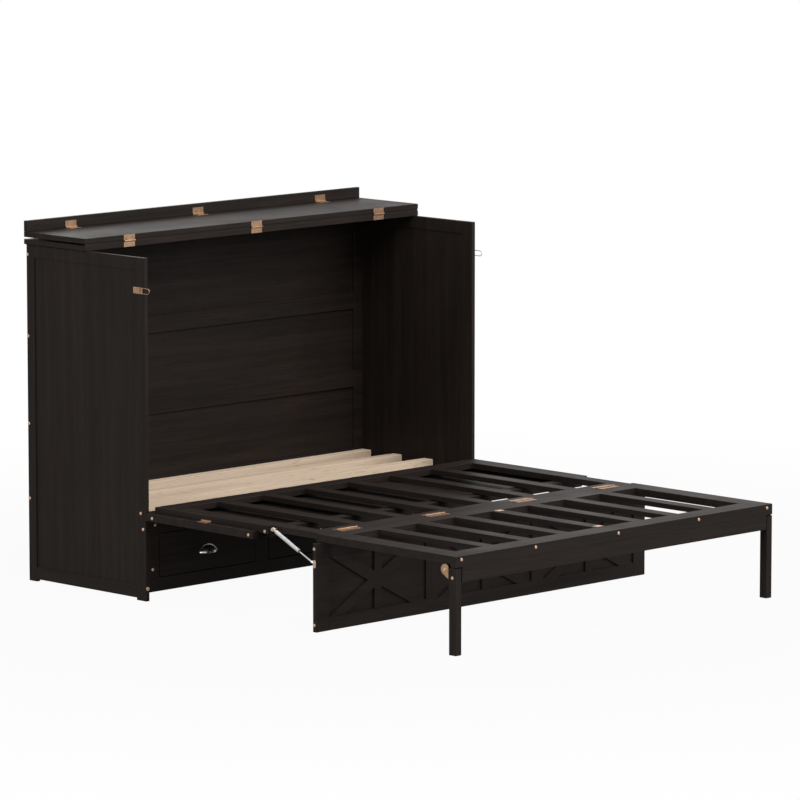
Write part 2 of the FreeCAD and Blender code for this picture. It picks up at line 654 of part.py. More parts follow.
def cabinet_caps():
    """Screw caps on the cabinet's outer side faces, its face frame and the front edges of its sides."""
    caps = []
    for side in SIDES:
        for share in REAR_CAP_SHARES:
            caps.append(cap_x(side, HALF, (CABINET_DEPTH - REAR_CAP_INSET, share * SIDE_HEIGHT), CAP_RADIUS))
        for place in SIDE_CAPS:
            caps.append(cap_x(side, HALF, place, CAP_RADIUS))
        for inset, z in FACE_CAPS:
            caps.append(cap_y(0, side * (HALF - inset), z, CAP_RADIUS))
        caps.append(cap_y(0, side * (HALF - SIDE_THICK / 2), FOOT_CAP_Z, FOOT_CAP_RADIUS))
    write("screw_caps", caps)


def latches():
    """On each side a plate with a barrel, and a wire bail that turns in the barrel."""
    plates = []
    pin_x, pin_y = LATCH_PIN
    ends = (pin_y, pin_y - WIRE_REACH)
    barrel_z = span(LATCH_CENTRE_Z, 2 * LATCH_BARREL_HALF)
    for side, name in zip(SIDES, ("left", "right")):
        plate = box(mirrored((HALF, HALF + LATCH_PLATE), side), (LATCH_Y, LATCH_Y + LATCH_LENGTH),
                    span(LATCH_CENTRE_Z, LATCH_HEIGHT))
        foot = box(mirrored((HALF, pin_x), side), span(pin_y, 2 * WIRE_RADIUS), barrel_z)
        barrel = rod_z(barrel_z, side * pin_x, pin_y, LATCH_BARREL_RADIUS)
        bore = rod_z(barrel_z, side * pin_x, pin_y, WIRE_RADIUS + PIN_PLAY)
        plates.append(joined([plate, foot, barrel]).cut(bore))
        wires = [rod_z(span(LATCH_CENTRE_Z, 2 * WIRE_HALF), side * pin_x, y, WIRE_RADIUS) for y in ends]
        for end in SIDES:
            z = LATCH_CENTRE_Z + end * WIRE_HALF
            wires.append(rod_y(ends, side * pin_x, z, WIRE_RADIUS))
            wires += [Part.makeSphere(WIRE_RADIUS, Vector(side * pin_x, y, z)) for y in ends]
        write("latch_bail_" + name, [joined(wires)])
    write("latch_plates", plates)


def slats(half_inside, count, y):
    """Slats along Y, evenly spread between two side rails."""
    gap = (2 * half_inside - count * SLAT_WIDTH) / (count + 1)
    solids = []
    for place in range(count):
        x = -half_inside + gap + place * (gap + SLAT_WIDTH)
        solids.append(board((x, x + SLAT_WIDTH), y, (PLATFORM_TOP - SLAT_THICK, PLATFORM_TOP)))
    return solids


def middle_section():
    """The frame and slats of the middle section, with the strips and spring blocks beside it."""
    inside = MIDDLE_HALF_WIDTH - MIDDLE_SIDE_RAIL
    z = (MIDDLE_BOTTOM, PLATFORM_TOP)
    inner_y = (MIDDLE_FRONT_Y + MIDDLE_FRONT_RAIL, MIDDLE_REAR_Y - MIDDLE_REAR_RAIL)
    rails = [board(mirrored((inside, MIDDLE_HALF_WIDTH), side), (MIDDLE_FRONT_Y, MIDDLE_REAR_Y), z)
             for side in SIDES]
    rails.append(board((-inside, inside), (inner_y[1], MIDDLE_REAR_Y), z))
    rails.append(board((-inside, inside), (MIDDLE_FRONT_Y, inner_y[0]), z))
    write("middle_rails", rails)
    write("middle_slats", slats(inside, MIDDLE_SLATS, inner_y))
    strips = []
    for side in SIDES:
        x = mirrored((MIDDLE_HALF_WIDTH, STRIP_OUTER), side)
        strips.append(board(x, (PANEL_FRONT_Y, MIDDLE_REAR_Y), z))
        strips.append(board(x, (PANEL_FRONT_Y - BLOCK_LENGTH, PANEL_FRONT_Y),
                            (PLATFORM_TOP - BLOCK_HEIGHT, PLATFORM_TOP)))
    write("middle_side_strips", strips)


def lower_panel():
    """The panel under the middle section, which is the cabinet's front when the bed is folded away."""
    z = (PANEL_BOTTOM, MIDDLE_BOTTOM)
    y = (PANEL_FRONT_Y, PANEL_REAR_Y)
    inner_y = (y[0] + PANEL_FRONT_RAIL, y[1] - PANEL_REAR_RAIL)
    reach = HALF - PANEL_END_STILE
    rear = board((-reach, reach), (inner_y[1], y[1]), z)
    for x in PLATFORM_HINGE_X:
        mortise = box(span(x, HINGE_WIDTH + 2 * MORTISE_GAP), (y[1] - PLATFORM_LEAF_THICK, y[1] + OVER),
                      (MIDDLE_BOTTOM - PLATFORM_LEAF_DOWN - MORTISE_GAP, MIDDLE_BOTTOM + OVER))
        rear = rear.cut(mortise)
    frame = [rear, board((-reach, reach), (y[0], inner_y[0]), z)]
    for side in SIDES:
        frame.append(board(mirrored((reach, HALF), side), y, z))
        frame.append(board(span(side * DRAWER_PITCH / 2, MID_STILE), inner_y, z))
    write("lower_panel_frame", frame)
    infill_z = (PANEL_BOTTOM + PANEL_RECESS, PANEL_BOTTOM + PANEL_RECESS + PANEL_INFILL_THICK)
    near = (DRAWER_PITCH + MID_STILE) / 2
    middle = (DRAWER_PITCH - MID_STILE) / 2
    write("lower_panel_infills", [box((-middle, middle), inner_y, infill_z)]
          + [box(mirrored((near, reach), side), inner_y, infill_z) for side in SIDES])


def angle_brackets():
    """Small copper angles between the middle section's frame and the lower panel."""
    solids = []
    foot_z = (MIDDLE_BOTTOM, MIDDLE_BOTTOM + ANGLE_THICK)
    for share in ANGLE_SHARES:
        x = span(share * (MIDDLE_HALF_WIDTH - ANGLE_INSET), ANGLE_WIDTH)
        solids.append(joined([
            box(x, (MIDDLE_REAR_Y, MIDDLE_REAR_Y + ANGLE_THICK), (MIDDLE_BOTTOM, PLATFORM_TOP)),
            box(x, (MIDDLE_REAR_Y, MIDDLE_REAR_Y + ANGLE_FOOT), foot_z),
        ]))
    y = span(SIDE_ANGLE_Y, SIDE_ANGLE_WIDTH)
    for side in SIDES:
        solids.append(joined([
            box(mirrored((STRIP_OUTER, STRIP_OUTER + ANGLE_THICK), side), y,
                (MIDDLE_BOTTOM, MIDDLE_BOTTOM + SIDE_ANGLE_UP)),
            box(mirrored((STRIP_OUTER, STRIP_OUTER + SIDE_ANGLE_FOOT), side), y, foot_z),
        ]))
    write("angle_brackets", solids)


def platform_hinges():
    """Butt hinges from the cross rail's upper face to the mortised rear end of the lower panel."""
    clear = PLATFORM_KNUCKLE_RADIUS + LEAF_CLEAR
    pin_y, pin_z = PLATFORM_PIN
    flat_z = (CROSS_RAIL_TOP, CROSS_RAIL_TOP + PLATFORM_LEAF_THICK)
    upright_y = (PANEL_REAR_Y - PLATFORM_LEAF_THICK, PANEL_REAR_Y)
    flat = ((pin_y + clear, pin_y + clear + PLATFORM_LEAF_BACK), flat_z)
    upright = (upright_y, (pin_z - clear - PLATFORM_LEAF_DOWN, pin_z - clear))
    write("platform_hinge_fixed_leaves", [
        hinge_outer(x, HINGE_WIDTH, PLATFORM_PIN, PLATFORM_KNUCKLE_RADIUS, flat,
                    ((pin_y, pin_y + clear), flat_z))
        for x in PLATFORM_HINGE_X])
    write("platform_hinge_moving_leaves", [
        hinge_inner(x, HINGE_WIDTH, PLATFORM_PIN, PLATFORM_KNUCKLE_RADIUS, upright,
                    (upright_y, (pin_z - clear, pin_z)))
        for x in PLATFORM_HINGE_X])


def fold_hinges():
    """Four long butt hinges on the upper faces, across the joint of the middle and the foot section."""
    clear = FOLD_KNUCKLE_RADIUS + LEAF_CLEAR
    z = (PLATFORM_TOP, PLATFORM_TOP + FOLD_LEAF_THICK)
    rear = ((FOLD_Y + clear, FOLD_Y + clear + FOLD_LEAF_LENGTH), z)
    front = ((FOLD_Y - clear - FOLD_LEAF_LENGTH, FOLD_Y - clear), z)
    places = [share * (MIDDLE_HALF_WIDTH - FOLD_HINGE_INSET) for share in FOLD_HINGE_SHARES]
    write("fold_hinge_middle_leaves", [
        hinge_outer(x, FOLD_HINGE_WIDTH, FOLD_PIN, FOLD_KNUCKLE_RADIUS, rear, ((FOLD_Y, FOLD_Y + clear), z))
        for x in places])
    write("fold_hinge_foot_leaves", [
        hinge_inner(x, FOLD_HINGE_WIDTH, FOLD_PIN, FOLD_KNUCKLE_RADIUS, front, ((FOLD_Y - clear, FOLD_Y), z))
        for x in places])


def brace_brackets():
    """Tongues under the middle section's front rail, each with the pin that the brace panel turns on."""
    pin_y, pin_z = BRACE_PIVOT
    under = MIDDLE_BOTTOM - TONGUE_FLANGE_THICK
    arm_y = (pin_y, pin_y + TONGUE_REACH)
    web_y = (MIDDLE_FRONT_Y, arm_y[1] + TONGUE_WEB_LENGTH)
    solids = []
    for x in BRACE_PIVOT_X:
        thick = span(x, TONGUE_THICK)
        solids.append(joined([
            rod_x(thick, BRACE_PIVOT, TONGUE_RADIUS),
            box(thick, arm_y, (pin_z - TONGUE_RADIUS, FOOT_BOTTOM - TONGUE_TOP_GAP)),
            box(thick, (MIDDLE_FRONT_Y, arm_y[1]), (pin_z - TONGUE_RADIUS, under)),
            box(thick, web_y, (under - TONGUE_WEB, under)),
            box(span(x, TONGUE_FLANGE_WIDTH), web_y, (under, MIDDLE_BOTTOM)),
            rod_x(span(x, TONGUE_THICK + 2 * TONGUE_PIN_REACH), BRACE_PIVOT, TONGUE_PIN_RADIUS),
        ]))
    write("brace_pivot_brackets", solids)


def middle_bolts():
    """Bolt caps of the lower panel and the blocks, and the studs that the gas springs hang from."""
    solids = []
    block = (PANEL_FRONT_Y - BLOCK_LENGTH * BLOCK_BOLT_SHARE, PLATFORM_TOP - BLOCK_BOLT_DOWN)
    eye_end = SPRING_X + EYE_HALF + STUD_GAP
    for side in SIDES:
        z = MIDDLE_BOTTOM - PANEL_BOLT_DOWN
        for y in (PANEL_REAR_Y - PANEL_BOLT_REAR, PANEL_FRONT_Y + PANEL_BOLT_FRONT):
            solids.append(cap_x(side, HALF, (y, z), CAP_RADIUS))
        solids.append(cap_x(side, STRIP_OUTER, block, CAP_RADIUS))
        shank = rod_x(mirrored((MIDDLE_HALF_WIDTH, eye_end), side), SPRING_UPPER, STUD_RADIUS)
        head = rod_x(mirrored((eye_end, eye_end + STUD_HEAD), side), SPRING_UPPER, STUD_HEAD_RADIUS)
        solids.append(joined([shank, head]))
    write("middle_bolts", solids)


def foot_section():
    """The frame and slats of the foot section and the two boards of its apron."""
    inside = FOOT_HALF_WIDTH - FOOT_SIDE_RAIL
    z = (FOOT_BOTTOM, PLATFORM_TOP)
    inner_y = (APRON_REAR_Y + FOOT_FRONT_RAIL, FOOT_REAR_Y - FOOT_REAR_RAIL)
    rails = [board(mirrored((inside, FOOT_HALF_WIDTH), side), (APRON_REAR_Y, FOOT_REAR_Y), z)
             for side in SIDES]
    rails.append(board((-inside, inside), (inner_y[1], FOOT_REAR_Y), z))
    rails.append(board((-inside, inside), (APRON_REAR_Y, inner_y[0]), z))
    write("foot_rails", rails)
    write("foot_slats", slats(inside, FOOT_SLATS, inner_y))
    apron_y = (FOOT_FRONT_Y, APRON_REAR_Y)
    lower_half = LEG_INNER - LEG_END_GAP
    lower = board((-lower_half, lower_half), apron_y, (APRON_BOTTOM, APRON_JOINT))
    for side in SIDES:
        bore_x = mirrored((FOOT_HALF_WIDTH - LEG_BOLT_LENGTH - PIN_PLAY, FOOT_HALF_WIDTH), side)
        lower = lower.cut(rod_x(bore_x, LEG_PIVOT, LEG_BOLT_RADIUS + PIN_PLAY))
    upper = board((-FOOT_HALF_WIDTH, FOOT_HALF_WIDTH), apron_y, (APRON_JOINT, PLATFORM_TOP))
    write("apron_boards", [upper, lower])


def foot_bolts():
    """Apron bolt caps, plates on the middle slat's ends, and the bolts of the legs and their catches."""
    cap_z = PLATFORM_TOP - APRON_BOLT_DOWN
    reach = FOOT_HALF_WIDTH - APRON_BOLT_INSET
    solids = [cap_y(FOOT_FRONT_Y, share * reach, cap_z, CAP_RADIUS) for share in APRON_BOLT_SHARES]
    plate_z = (PLATFORM_TOP, PLATFORM_TOP + SLAT_PLATE_THICK)
    rear_end = FOOT_REAR_Y - FOOT_REAR_RAIL
    front_end = APRON_REAR_Y + FOOT_FRONT_RAIL
    for y in ((rear_end - SLAT_PLATE_LENGTH, rear_end), (front_end, front_end + SLAT_PLATE_LENGTH)):
        solids.append(box(span(0, SLAT_PLATE_WIDTH), y, plate_z))
    plate_end = FOOT_HALF_WIDTH + CATCH_THICK + 2 * CATCH_GAP
    for side in SIDES:
        shank_x = mirrored((FOOT_HALF_WIDTH - LEG_BOLT_LENGTH, FOOT_HALF_WIDTH), side)
        solids.append(joined([rod_x(shank_x, LEG_PIVOT, LEG_BOLT_RADIUS),
                              cap_x(side, FOOT_HALF_WIDTH, LEG_PIVOT, CAP_RADIUS)]))
        pin_x = mirrored((FOOT_HALF_WIDTH - CATCH_PIN_IN, plate_end), side)
        solids.append(joined([rod_x(pin_x, CATCH_PIVOT, CATCH_PIN_RADIUS),
                              cap_x(side, plate_end, CATCH_PIVOT, CAP_RADIUS)]))
    write("foot_bolts", solids)


def legs():
    """Two legs that swing up under the foot section, and the blocks behind them."""
    blocks = []
    round_top = LEG_TOP - LEG_PIVOT_Z
    y = (FOOT_FRONT_Y, LEG_REAR_Y)
    for side, name in zip(SIDES, ("left", "right")):
        x = mirrored((LEG_INNER, FOOT_HALF_WIDTH), side)
        keep = box(x, y, (0, LEG_PIVOT_Z)).fuse(rod_x(x, LEG_PIVOT, round_top))
        leg = board(x, y, (0, LEG_TOP)).common(keep)
        write("leg_" + name, [leg.cut(rod_x(x, LEG_PIVOT, LEG_BOLT_RADIUS + PIN_PLAY))])
        block = box(x, (LEG_BLOCK_Y, LEG_BLOCK_Y + LEG_BLOCK_LENGTH), (LEG_BLOCK_BOTTOM, FOOT_BOTTOM))
        pin_x = mirrored((FOOT_HALF_WIDTH - CATCH_PIN_IN - PIN_PLAY, FOOT_HALF_WIDTH), side)
        blocks.append(block.cut(rod_x(pin_x, CATCH_PIVOT, CATCH_PIN_RADIUS + PIN_PLAY)))
    write("leg_blocks", blocks)


def teardrop(x, centre, tip, radius, tip_radius):
    """A plate with a large and a small round end, joined by their outer tangents."""
    heading = math.atan2(tip[1] - centre[1], tip[0] - centre[0])
    lean = math.acos((radius - tip_radius) / math.dist(centre, tip))
    corners = []
    for place, size, turn in ((centre, radius, lean), (tip, tip_radius, lean),
                              (tip, tip_radius, -lean), (centre, radius, -lean)):
        angle = heading + turn
        corners.append((place[0] + size * math.cos(angle), place[1] + size * math.sin(angle)))
    return joined([plate_x(x, corners), rod_x(x, centre, radius), rod_x(x, tip, tip_radius)])


def leg_catches():
    """Teardrop plates outside the legs, each turning on a pin in its block."""
    tip = (CATCH_PIVOT[0] - CATCH_TIP_FORWARD, CATCH_PIVOT[1] - CATCH_TIP_DOWN)
    for side, name in zip(SIDES, ("left", "right")):
        x = mirrored((FOOT_HALF_WIDTH + CATCH_GAP, FOOT_HALF_WIDTH + CATCH_GAP + CATCH_THICK), side)
        plate = teardrop(x, CATCH_PIVOT, tip, CATCH_RADIUS, CATCH_TIP_RADIUS)
        write("leg_catch_" + name, [plate.cut(rod_x(x, CATCH_PIVOT, CATCH_PIN_RADIUS + PIN_PLAY))])


def brace_bays():
    """The (low, high) X pairs of the brace panel's three openings."""
    reach = BRACE_HALF_WIDTH - BRACE_END_STILE
    near = (DRAWER_PITCH + BRACE_MID_STILE) / 2
    middle = (DRAWER_PITCH - BRACE_MID_STILE) / 2
    return ((-reach, -near), (-middle, middle), (near, reach))


def brace_panel():
    """Frame, infills and crossed boards of the panel that stands under the fold."""
    y = (BRACE_FRONT_Y, BRACE_REAR_Y)
    reach = BRACE_HALF_WIDTH - BRACE_END_STILE
    z = (BRACE_RAIL, BRACE_TOP - BRACE_RAIL)
    top = board((-reach, reach), y, (z[1], BRACE_TOP))
    slot_y = (BRACE_PIVOT[0] - TONGUE_RADIUS - TONGUE_GAP, y[1] + OVER)
    slot_z = (BRACE_PIVOT[1] - math.hypot(TONGUE_REACH, TONGUE_RADIUS) - TONGUE_GAP, BRACE_TOP + OVER)
    for x in BRACE_PIVOT_X:
        top = top.cut(box(span(x, TONGUE_THICK + 2 * TONGUE_GAP), slot_y, slot_z))
        bore_x = span(x, TONGUE_THICK + 2 * (TONGUE_PIN_REACH + TONGUE_GAP))
        top = top.cut(rod_x(bore_x, BRACE_PIVOT, TONGUE_PIN_RADIUS + PIN_PLAY))
    frame = [top, board((-reach, reach), y, (BRACE_FLOOR_GAP, BRACE_RAIL))]
    for side in SIDES:
        frame.append(board(mirrored((reach, BRACE_HALF_WIDTH), side), y, (BRACE_FLOOR_GAP, BRACE_TOP)))
        frame.append(board(span(side * DRAWER_PITCH / 2, BRACE_MID_STILE), y, z))
    write("brace_frame", frame)
    face_y = BRACE_FRONT_Y + BRACE_TRIM_THICK
    write("brace_infills", [box(x, (face_y, face_y + BRACE_INFILL_THICK), z) for x in brace_bays()])
    write("brace_trim", [crossed_boards(x, (BRACE_FRONT_Y, face_y), z) for x in brace_bays()])


def crossed_boards(x, y, z):
    """The boards on one infill: an upright bar and four slanted ones that meet it in the middle."""
    trim = box(x, y, z)
    centre = sum(x) / 2
    middle = sum(z) / 2
    half_width = (x[1] - x[0]) / 2
    rise = WINDOW_RISE_SHARE * (z[1] - z[0]) / 2
    cut_y = (y[0] - OVER, y[1] + OVER)
    for side in SIDES:
        edge = centre + side * half_width
        tip = edge - side * WINDOW_SIDE_SHARE * half_width
        trim = trim.cut(plate_y(cut_y, ((edge, z[0]), (edge, z[1]), (tip, middle))))
        bar = centre + side * BRACE_BAR / 2
        corner = bar + side * WINDOW_TOP_SHARE * half_width
        for end, level in zip(SIDES, z):
            trim = trim.cut(plate_y(cut_y, ((bar, level), (corner, level), (bar, level - end * rise))))
    return trim


def brace_hardware():
    """Bolt caps and latch strikes on the brace panel's ends, and the ears for the gas springs behind it."""
    solids = []
    for side in SIDES:
        for z in (BRACE_CAP_UP, BRACE_TOP - BRACE_CAP_DOWN):
            solids.append(cap_x(side, BRACE_HALF_WIDTH, (BRACE_FRONT_Y + BRACE_CAP_BACK, z), CAP_RADIUS))
        strike_x = mirrored((BRACE_HALF_WIDTH, BRACE_HALF_WIDTH + STRIKE_THICK), side)
        stud_x = mirrored((BRACE_HALF_WIDTH, BRACE_HALF_WIDTH + STRIKE_THICK + STRIKE_STUD), side)
        ends = [rod_x(strike_x, (STRIKE_Y, STRIKE_Z + end * STRIKE_HALF), STRIKE_RADIUS) for end in SIDES]
        middle = box(strike_x, span(STRIKE_Y, 2 * STRIKE_RADIUS), span(STRIKE_Z, 2 * STRIKE_HALF))
        solids.append(joined(ends + [middle, rod_x(stud_x, (STRIKE_Y, STRIKE_Z), STRIKE_STUD_RADIUS)]))
        solids.append(spring_ear(side))
    write("brace_hardware", solids)


def spring_ear(side):
    """A flange on the panel's back with an ear and a short stud beside the gas spring's socket."""
    ear_x = mirrored((EAR_INNER, EAR_INNER + EAR_THICK), side)
    stud_x = mirrored((EAR_INNER, SPRING_X - SOCKET_IN - SOCKET_GAP), side)
    flange_x = mirrored((EAR_INNER, EAR_INNER + EAR_FLANGE), side)
    return joined([
        rod_x(ear_x, SPRING_LOWER, EAR_RADIUS),
        box(ear_x, (BRACE_REAR_Y, SPRING_LOWER[0]), span(SPRING_LOWER[1], 2 * EAR_RADIUS)),
        box(flange_x, (BRACE_REAR_Y, BRACE_REAR_Y + EAR_FLANGE_THICK), span(SPRING_LOWER[1], EAR_FLANGE)),
        rod_x(stud_x, SPRING_LOWER, STUD_RADIUS),
    ])


def along_spring(start, end, side, radius):
    """A round bar on the gas spring's line, before it is tilted, from its upper stud towards -Y."""
    return rod_y((SPRING_UPPER_Y - end, SPRING_UPPER_Y - start), side * SPRING_X, SPRING_UPPER_Z, radius)


def gas_springs():
    """Two gas springs: a cylinder on the middle section's stud and a rod that slides in it."""
    pivot = Vector(0, SPRING_UPPER[0], SPRING_UPPER[1])
    neck_y = (SPRING_UPPER_Y - TUBE_START - OVER, SPRING_UPPER_Y)
    for side, name in zip(SIDES, ("left", "right")):
        eye_x = span(side * SPRING_X, 2 * EYE_HALF)
        neck = along_spring(0, TUBE_START + OVER, side, TUBE_NECK_RADIUS)
        neck = neck.common(box(eye_x, neck_y, span(SPRING_UPPER_Z, 2 * EYE_RADIUS)))
        tube = along_spring(TUBE_START, TUBE_END, side, TUBE_RADIUS)
        body = joined([tube, neck, rod_x(eye_x, SPRING_UPPER, EYE_RADIUS)])
        body = body.cut(rod_x(eye_x, SPRING_UPPER, STUD_RADIUS + PIN_PLAY))
        body = body.cut(along_spring(BORE_START, TUBE_END + OVER, side, ROD_RADIUS + ROD_PLAY))
        socket_x = mirrored((SPRING_X - SOCKET_IN, SPRING_X + SOCKET_OUT), side)
        end = (SPRING_UPPER_Y - SPRING_LENGTH, SPRING_UPPER_Z)
        rod = joined([along_spring(ROD_START, SPRING_LENGTH, side, ROD_RADIUS),
                      rod_x(socket_x, end, EYE_RADIUS)])
        for solid in (body, rod):
            solid.rotate(pivot, Vector(1, 0, 0), SPRING_ANGLE)
        write("gas_spring_cylinder_" + name, [body])
        write("gas_spring_rod_" + name, [rod])


def build():
    """Every node of the bed."""
    os.makedirs("parts", exist_ok=True)
    write("cabinet_infills", side_panels() + back())
    fixed_top()
    lid_and_fascia()
    lid_hinges()
    fascia_hinges()
    face_frame()
    drawer_bays()
    drawers()
    beams()
    cabinet_caps()
    latches()
    middle_section()
    lower_panel()
    angle_brackets()
    platform_hinges()
    fold_hinges()
    brace_brackets()
    middle_bolts()
    foot_section()
    foot_bolts()
    legs()
    leg_catches()
    brace_panel()
    brace_hardware()
    gas_springs()


build()
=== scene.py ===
"""Looks of the open chest bed: stained and bare wood, copper hardware, screws, light, floor and camera."""
import bmesh
import bpy
import json
import math

from mathutils import Matrix, Vector


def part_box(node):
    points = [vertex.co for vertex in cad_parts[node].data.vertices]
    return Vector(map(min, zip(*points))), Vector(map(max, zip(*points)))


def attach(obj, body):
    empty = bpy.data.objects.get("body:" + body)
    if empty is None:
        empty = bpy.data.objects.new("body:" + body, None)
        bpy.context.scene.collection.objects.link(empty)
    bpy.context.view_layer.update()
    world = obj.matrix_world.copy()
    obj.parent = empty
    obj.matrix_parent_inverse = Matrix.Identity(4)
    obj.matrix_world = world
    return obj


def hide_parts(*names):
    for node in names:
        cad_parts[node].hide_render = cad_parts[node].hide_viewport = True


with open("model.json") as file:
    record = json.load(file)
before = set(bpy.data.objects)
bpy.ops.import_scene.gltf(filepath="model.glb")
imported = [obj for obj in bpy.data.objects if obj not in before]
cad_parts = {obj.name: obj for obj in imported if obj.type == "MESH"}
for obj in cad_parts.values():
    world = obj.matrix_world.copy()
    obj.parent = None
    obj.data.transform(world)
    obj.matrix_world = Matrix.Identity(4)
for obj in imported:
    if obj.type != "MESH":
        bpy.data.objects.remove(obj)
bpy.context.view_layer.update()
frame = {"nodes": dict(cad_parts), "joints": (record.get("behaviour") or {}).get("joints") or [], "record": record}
NODES = frame["nodes"]

# Axes, corners of a box, and directions
X, Y, Z = range(3)
LOW, HIGH = range(2)
UP = Vector((0.0, 0.0, 1.0))
RIGHT = Vector((1.0, 0.0, 0.0))
TO_BACK = Vector((0.0, 1.0, 0.0))
TO_FRONT = Vector((0.0, -1.0, 0.0))

# Sockets of Blender's mix node when it mixes colours
MIX_SHARE = 0
MIX_FIRST = 6
MIX_SECOND = 7
MIX_RESULT = 2

# Colours, linear
ESPRESSO_DARK = (0.0110, 0.0082, 0.0070)
ESPRESSO_MID = (0.0165, 0.0124, 0.0104)
ESPRESSO_LIGHT = (0.0245, 0.0180, 0.0148)
ESPRESSO_PORE = (0.0068, 0.0048, 0.0042)
ESPRESSO_RED = (0.036, 0.018, 0.012)
PINE_PALE = (0.82, 0.645, 0.485)
PINE_MID = (0.72, 0.550, 0.400)
PINE_DARK = (0.50, 0.350, 0.230)
PINE_KNOT = (0.24, 0.135, 0.075)
COPPER = (0.46, 0.290, 0.184)
COPPER_AGED = (0.30, 0.175, 0.104)
BOLT = (0.72, 0.50, 0.36)
BOLT_AGED = (0.52, 0.34, 0.23)
PEWTER = (0.62, 0.61, 0.59)
PEWTER_AGED = (0.20, 0.19, 0.18)
GREY_PAINT = (0.66, 0.655, 0.645)
GREY_WORN = (0.56, 0.555, 0.545)
STEEL = (0.62, 0.62, 0.63)
RUBBER = (0.012, 0.012, 0.012)
SLOT_SHADE = (0.05, 0.028, 0.018)
# Painted shadow in the joint lines under the fixed top's overhang, near black
JOINT_SHADOW_DEEP = (0.0010, 0.0009, 0.0008)
JOINT_SHADOW_EDGE = (0.0030, 0.0025, 0.0022)
FLOOR = (0.30, 0.30, 0.298)
WHITE = (1.0, 1.0, 1.0)

# Patterns of noise: scale along and across the grain, detail, distortion
ESPRESSO_FIGURE = (1.3, 34.0, 7.0, 0.4)
ESPRESSO_STREAKS = (3.5, 150.0, 4.0, 0.2)
ESPRESSO_FINE = (9.0, 420.0, 3.0, 0.0)
ESPRESSO_WEAR = (5.0, 5.0, 5.0, 0.0)
PINE_FIGURE = (0.8, 38.0, 5.0, 0.8)
PINE_BROAD = (1.6, 9.0, 3.0, 0.0)
PINE_FLECKS = (16.0, 190.0, 2.0, 0.0)
PINE_FIBRES = (14.0, 500.0, 3.0, 0.0)
METAL_DRIFT = (60.0, 60.0, 5.0, 0.0)
RUBBER_GRAIN = (900.0, 900.0, 3.0, 0.0)
JOINT_GRAIN = (400.0, 400.0, 2.0, 0.0)

# Cells of the knots: scale along and across the grain; and detail of the metals' scratches
PINE_KNOT_CELLS = (4.6, 11.0)
SCRATCH_DETAIL = 4.0

# Where the colours of a pattern lie, as shares of its noise
ESPRESSO_STOPS = ((0.30, ESPRESSO_DARK), (0.52, ESPRESSO_MID), (0.76, ESPRESSO_LIGHT))
PINE_STOPS = ((0.36, PINE_PALE), (0.54, PINE_MID), (0.70, PINE_DARK))
RUBBER_STOPS = ((0.3, RUBBER), (0.8, SLOT_SHADE))
JOINT_SHADOW_STOPS = ((0.3, JOINT_SHADOW_DEEP), (0.8, JOINT_SHADOW_EDGE))
METAL_STOPS = (0.35, 0.8)

# Ranges: from and to of the noise, then from and to of the mixed share
STREAK_RANGE = (0.56, 0.74, 0.0, 0.55)
PORE_RANGE = (0.55, 0.68, 0.0, 0.8)
WEAR_RANGE = (0.55, 0.85, 0.0, 0.3)
PALE_RANGE = (0.35, 0.7, 0.62, 0.0)
KNOT_RANGE = (0.05, 0.10, 0.75, 0.0)
FLECK_RANGE = (0.60, 0.74, 0.0, 0.75)

# Roughness: from and to of the noise, then from and to of the roughness; and the lacquer's specular level
POLISH_NOISE = (0.3, 0.7)
ESPRESSO_POLISH = (0.46, 0.60)
PINE_POLISH = (0.55, 0.72)
RUBBER_ROUGHNESS = 0.8
JOINT_ROUGHNESS = 0.9
FLOOR_ROUGHNESS = 0.9
ESPRESSO_SHEEN = 0.11

# Relief: strength and depth in metres
ESPRESSO_RELIEF = (0.22, 0.0004)
PINE_RELIEF = (0.25, 0.0004)
METAL_RELIEF = (0.12, 0.0002)
RUBBER_RELIEF = (0.3, 0.0003)

# Metals and paint by slot: name, colour, worn colour, roughness, scale of the scratches, metallic
METALS = {
    "copper": ("copper", COPPER, COPPER_AGED, (0.30, 0.46), (40.0, 900.0, 900.0), 1.0),
    "pewter": ("pewter", PEWTER, PEWTER_AGED, (0.16, 0.34), (300.0, 300.0, 300.0), 1.0),
    "grey_paint": ("grey_paint", GREY_PAINT, GREY_WORN, (0.30, 0.42), (200.0, 200.0, 200.0), 0.0),
    "steel": ("polished_rod", STEEL, STEEL, (0.16, 0.26), (900.0, 60.0, 60.0), 1.0),
}

# The same for bolts and caps, whose copper is paler, and for the painted shade in the slots of screws
BOLT_NODES = ("screw_caps", "middle_bolts", "foot_bolts", "brace_hardware")
BOLT_METAL = ("bolt_copper", BOLT, BOLT_AGED, (0.30, 0.46), (300.0, 300.0, 300.0), 1.0)
SLOT_METAL = ("slot_shade", SLOT_SHADE, SLOT_SHADE, (0.5, 0.6), (300.0, 300.0, 300.0), 1.0)

# Telling the solids of a node apart: decimals of a shared corner, and gap and margin in metres
CORNER_DECIMALS = 5
ISLAND_GAP = 0.001
ISLAND_MARGIN = 0.0002

# Screws in the hinge leaves, latch plates and angles, metres; the turn from one slot to the next, radians
SCREW_RADIUS = 0.0026
SCREW_PROUD = 0.0005
SCREW_SEAT = 0.0002
SCREW_RIM_SHARE = 0.4
SCREW_TOP_SHARE = 0.86
SCREW_SIDES = 20
SCREW_TURN = 0.7
CROSS_WIDTH = 0.0007
CROSS_LENGTH = 0.0030
CROSS_LIFT = 0.00005

# Rows of screws in the hinge leaves: insets from a corner of the leaves in metres, shares of a leaf's width
SHEET_FACE = 0.0016
PLATE_FACE = 0.002
LEAF_ROW = 0.008
FASCIA_ROW = 0.009
FOLD_ROWS = (0.015, 0.006)
TWO_SHARES = (0.22, 0.78)
FOUR_SHARES = (0.10, 0.36, 0.64, 0.90)

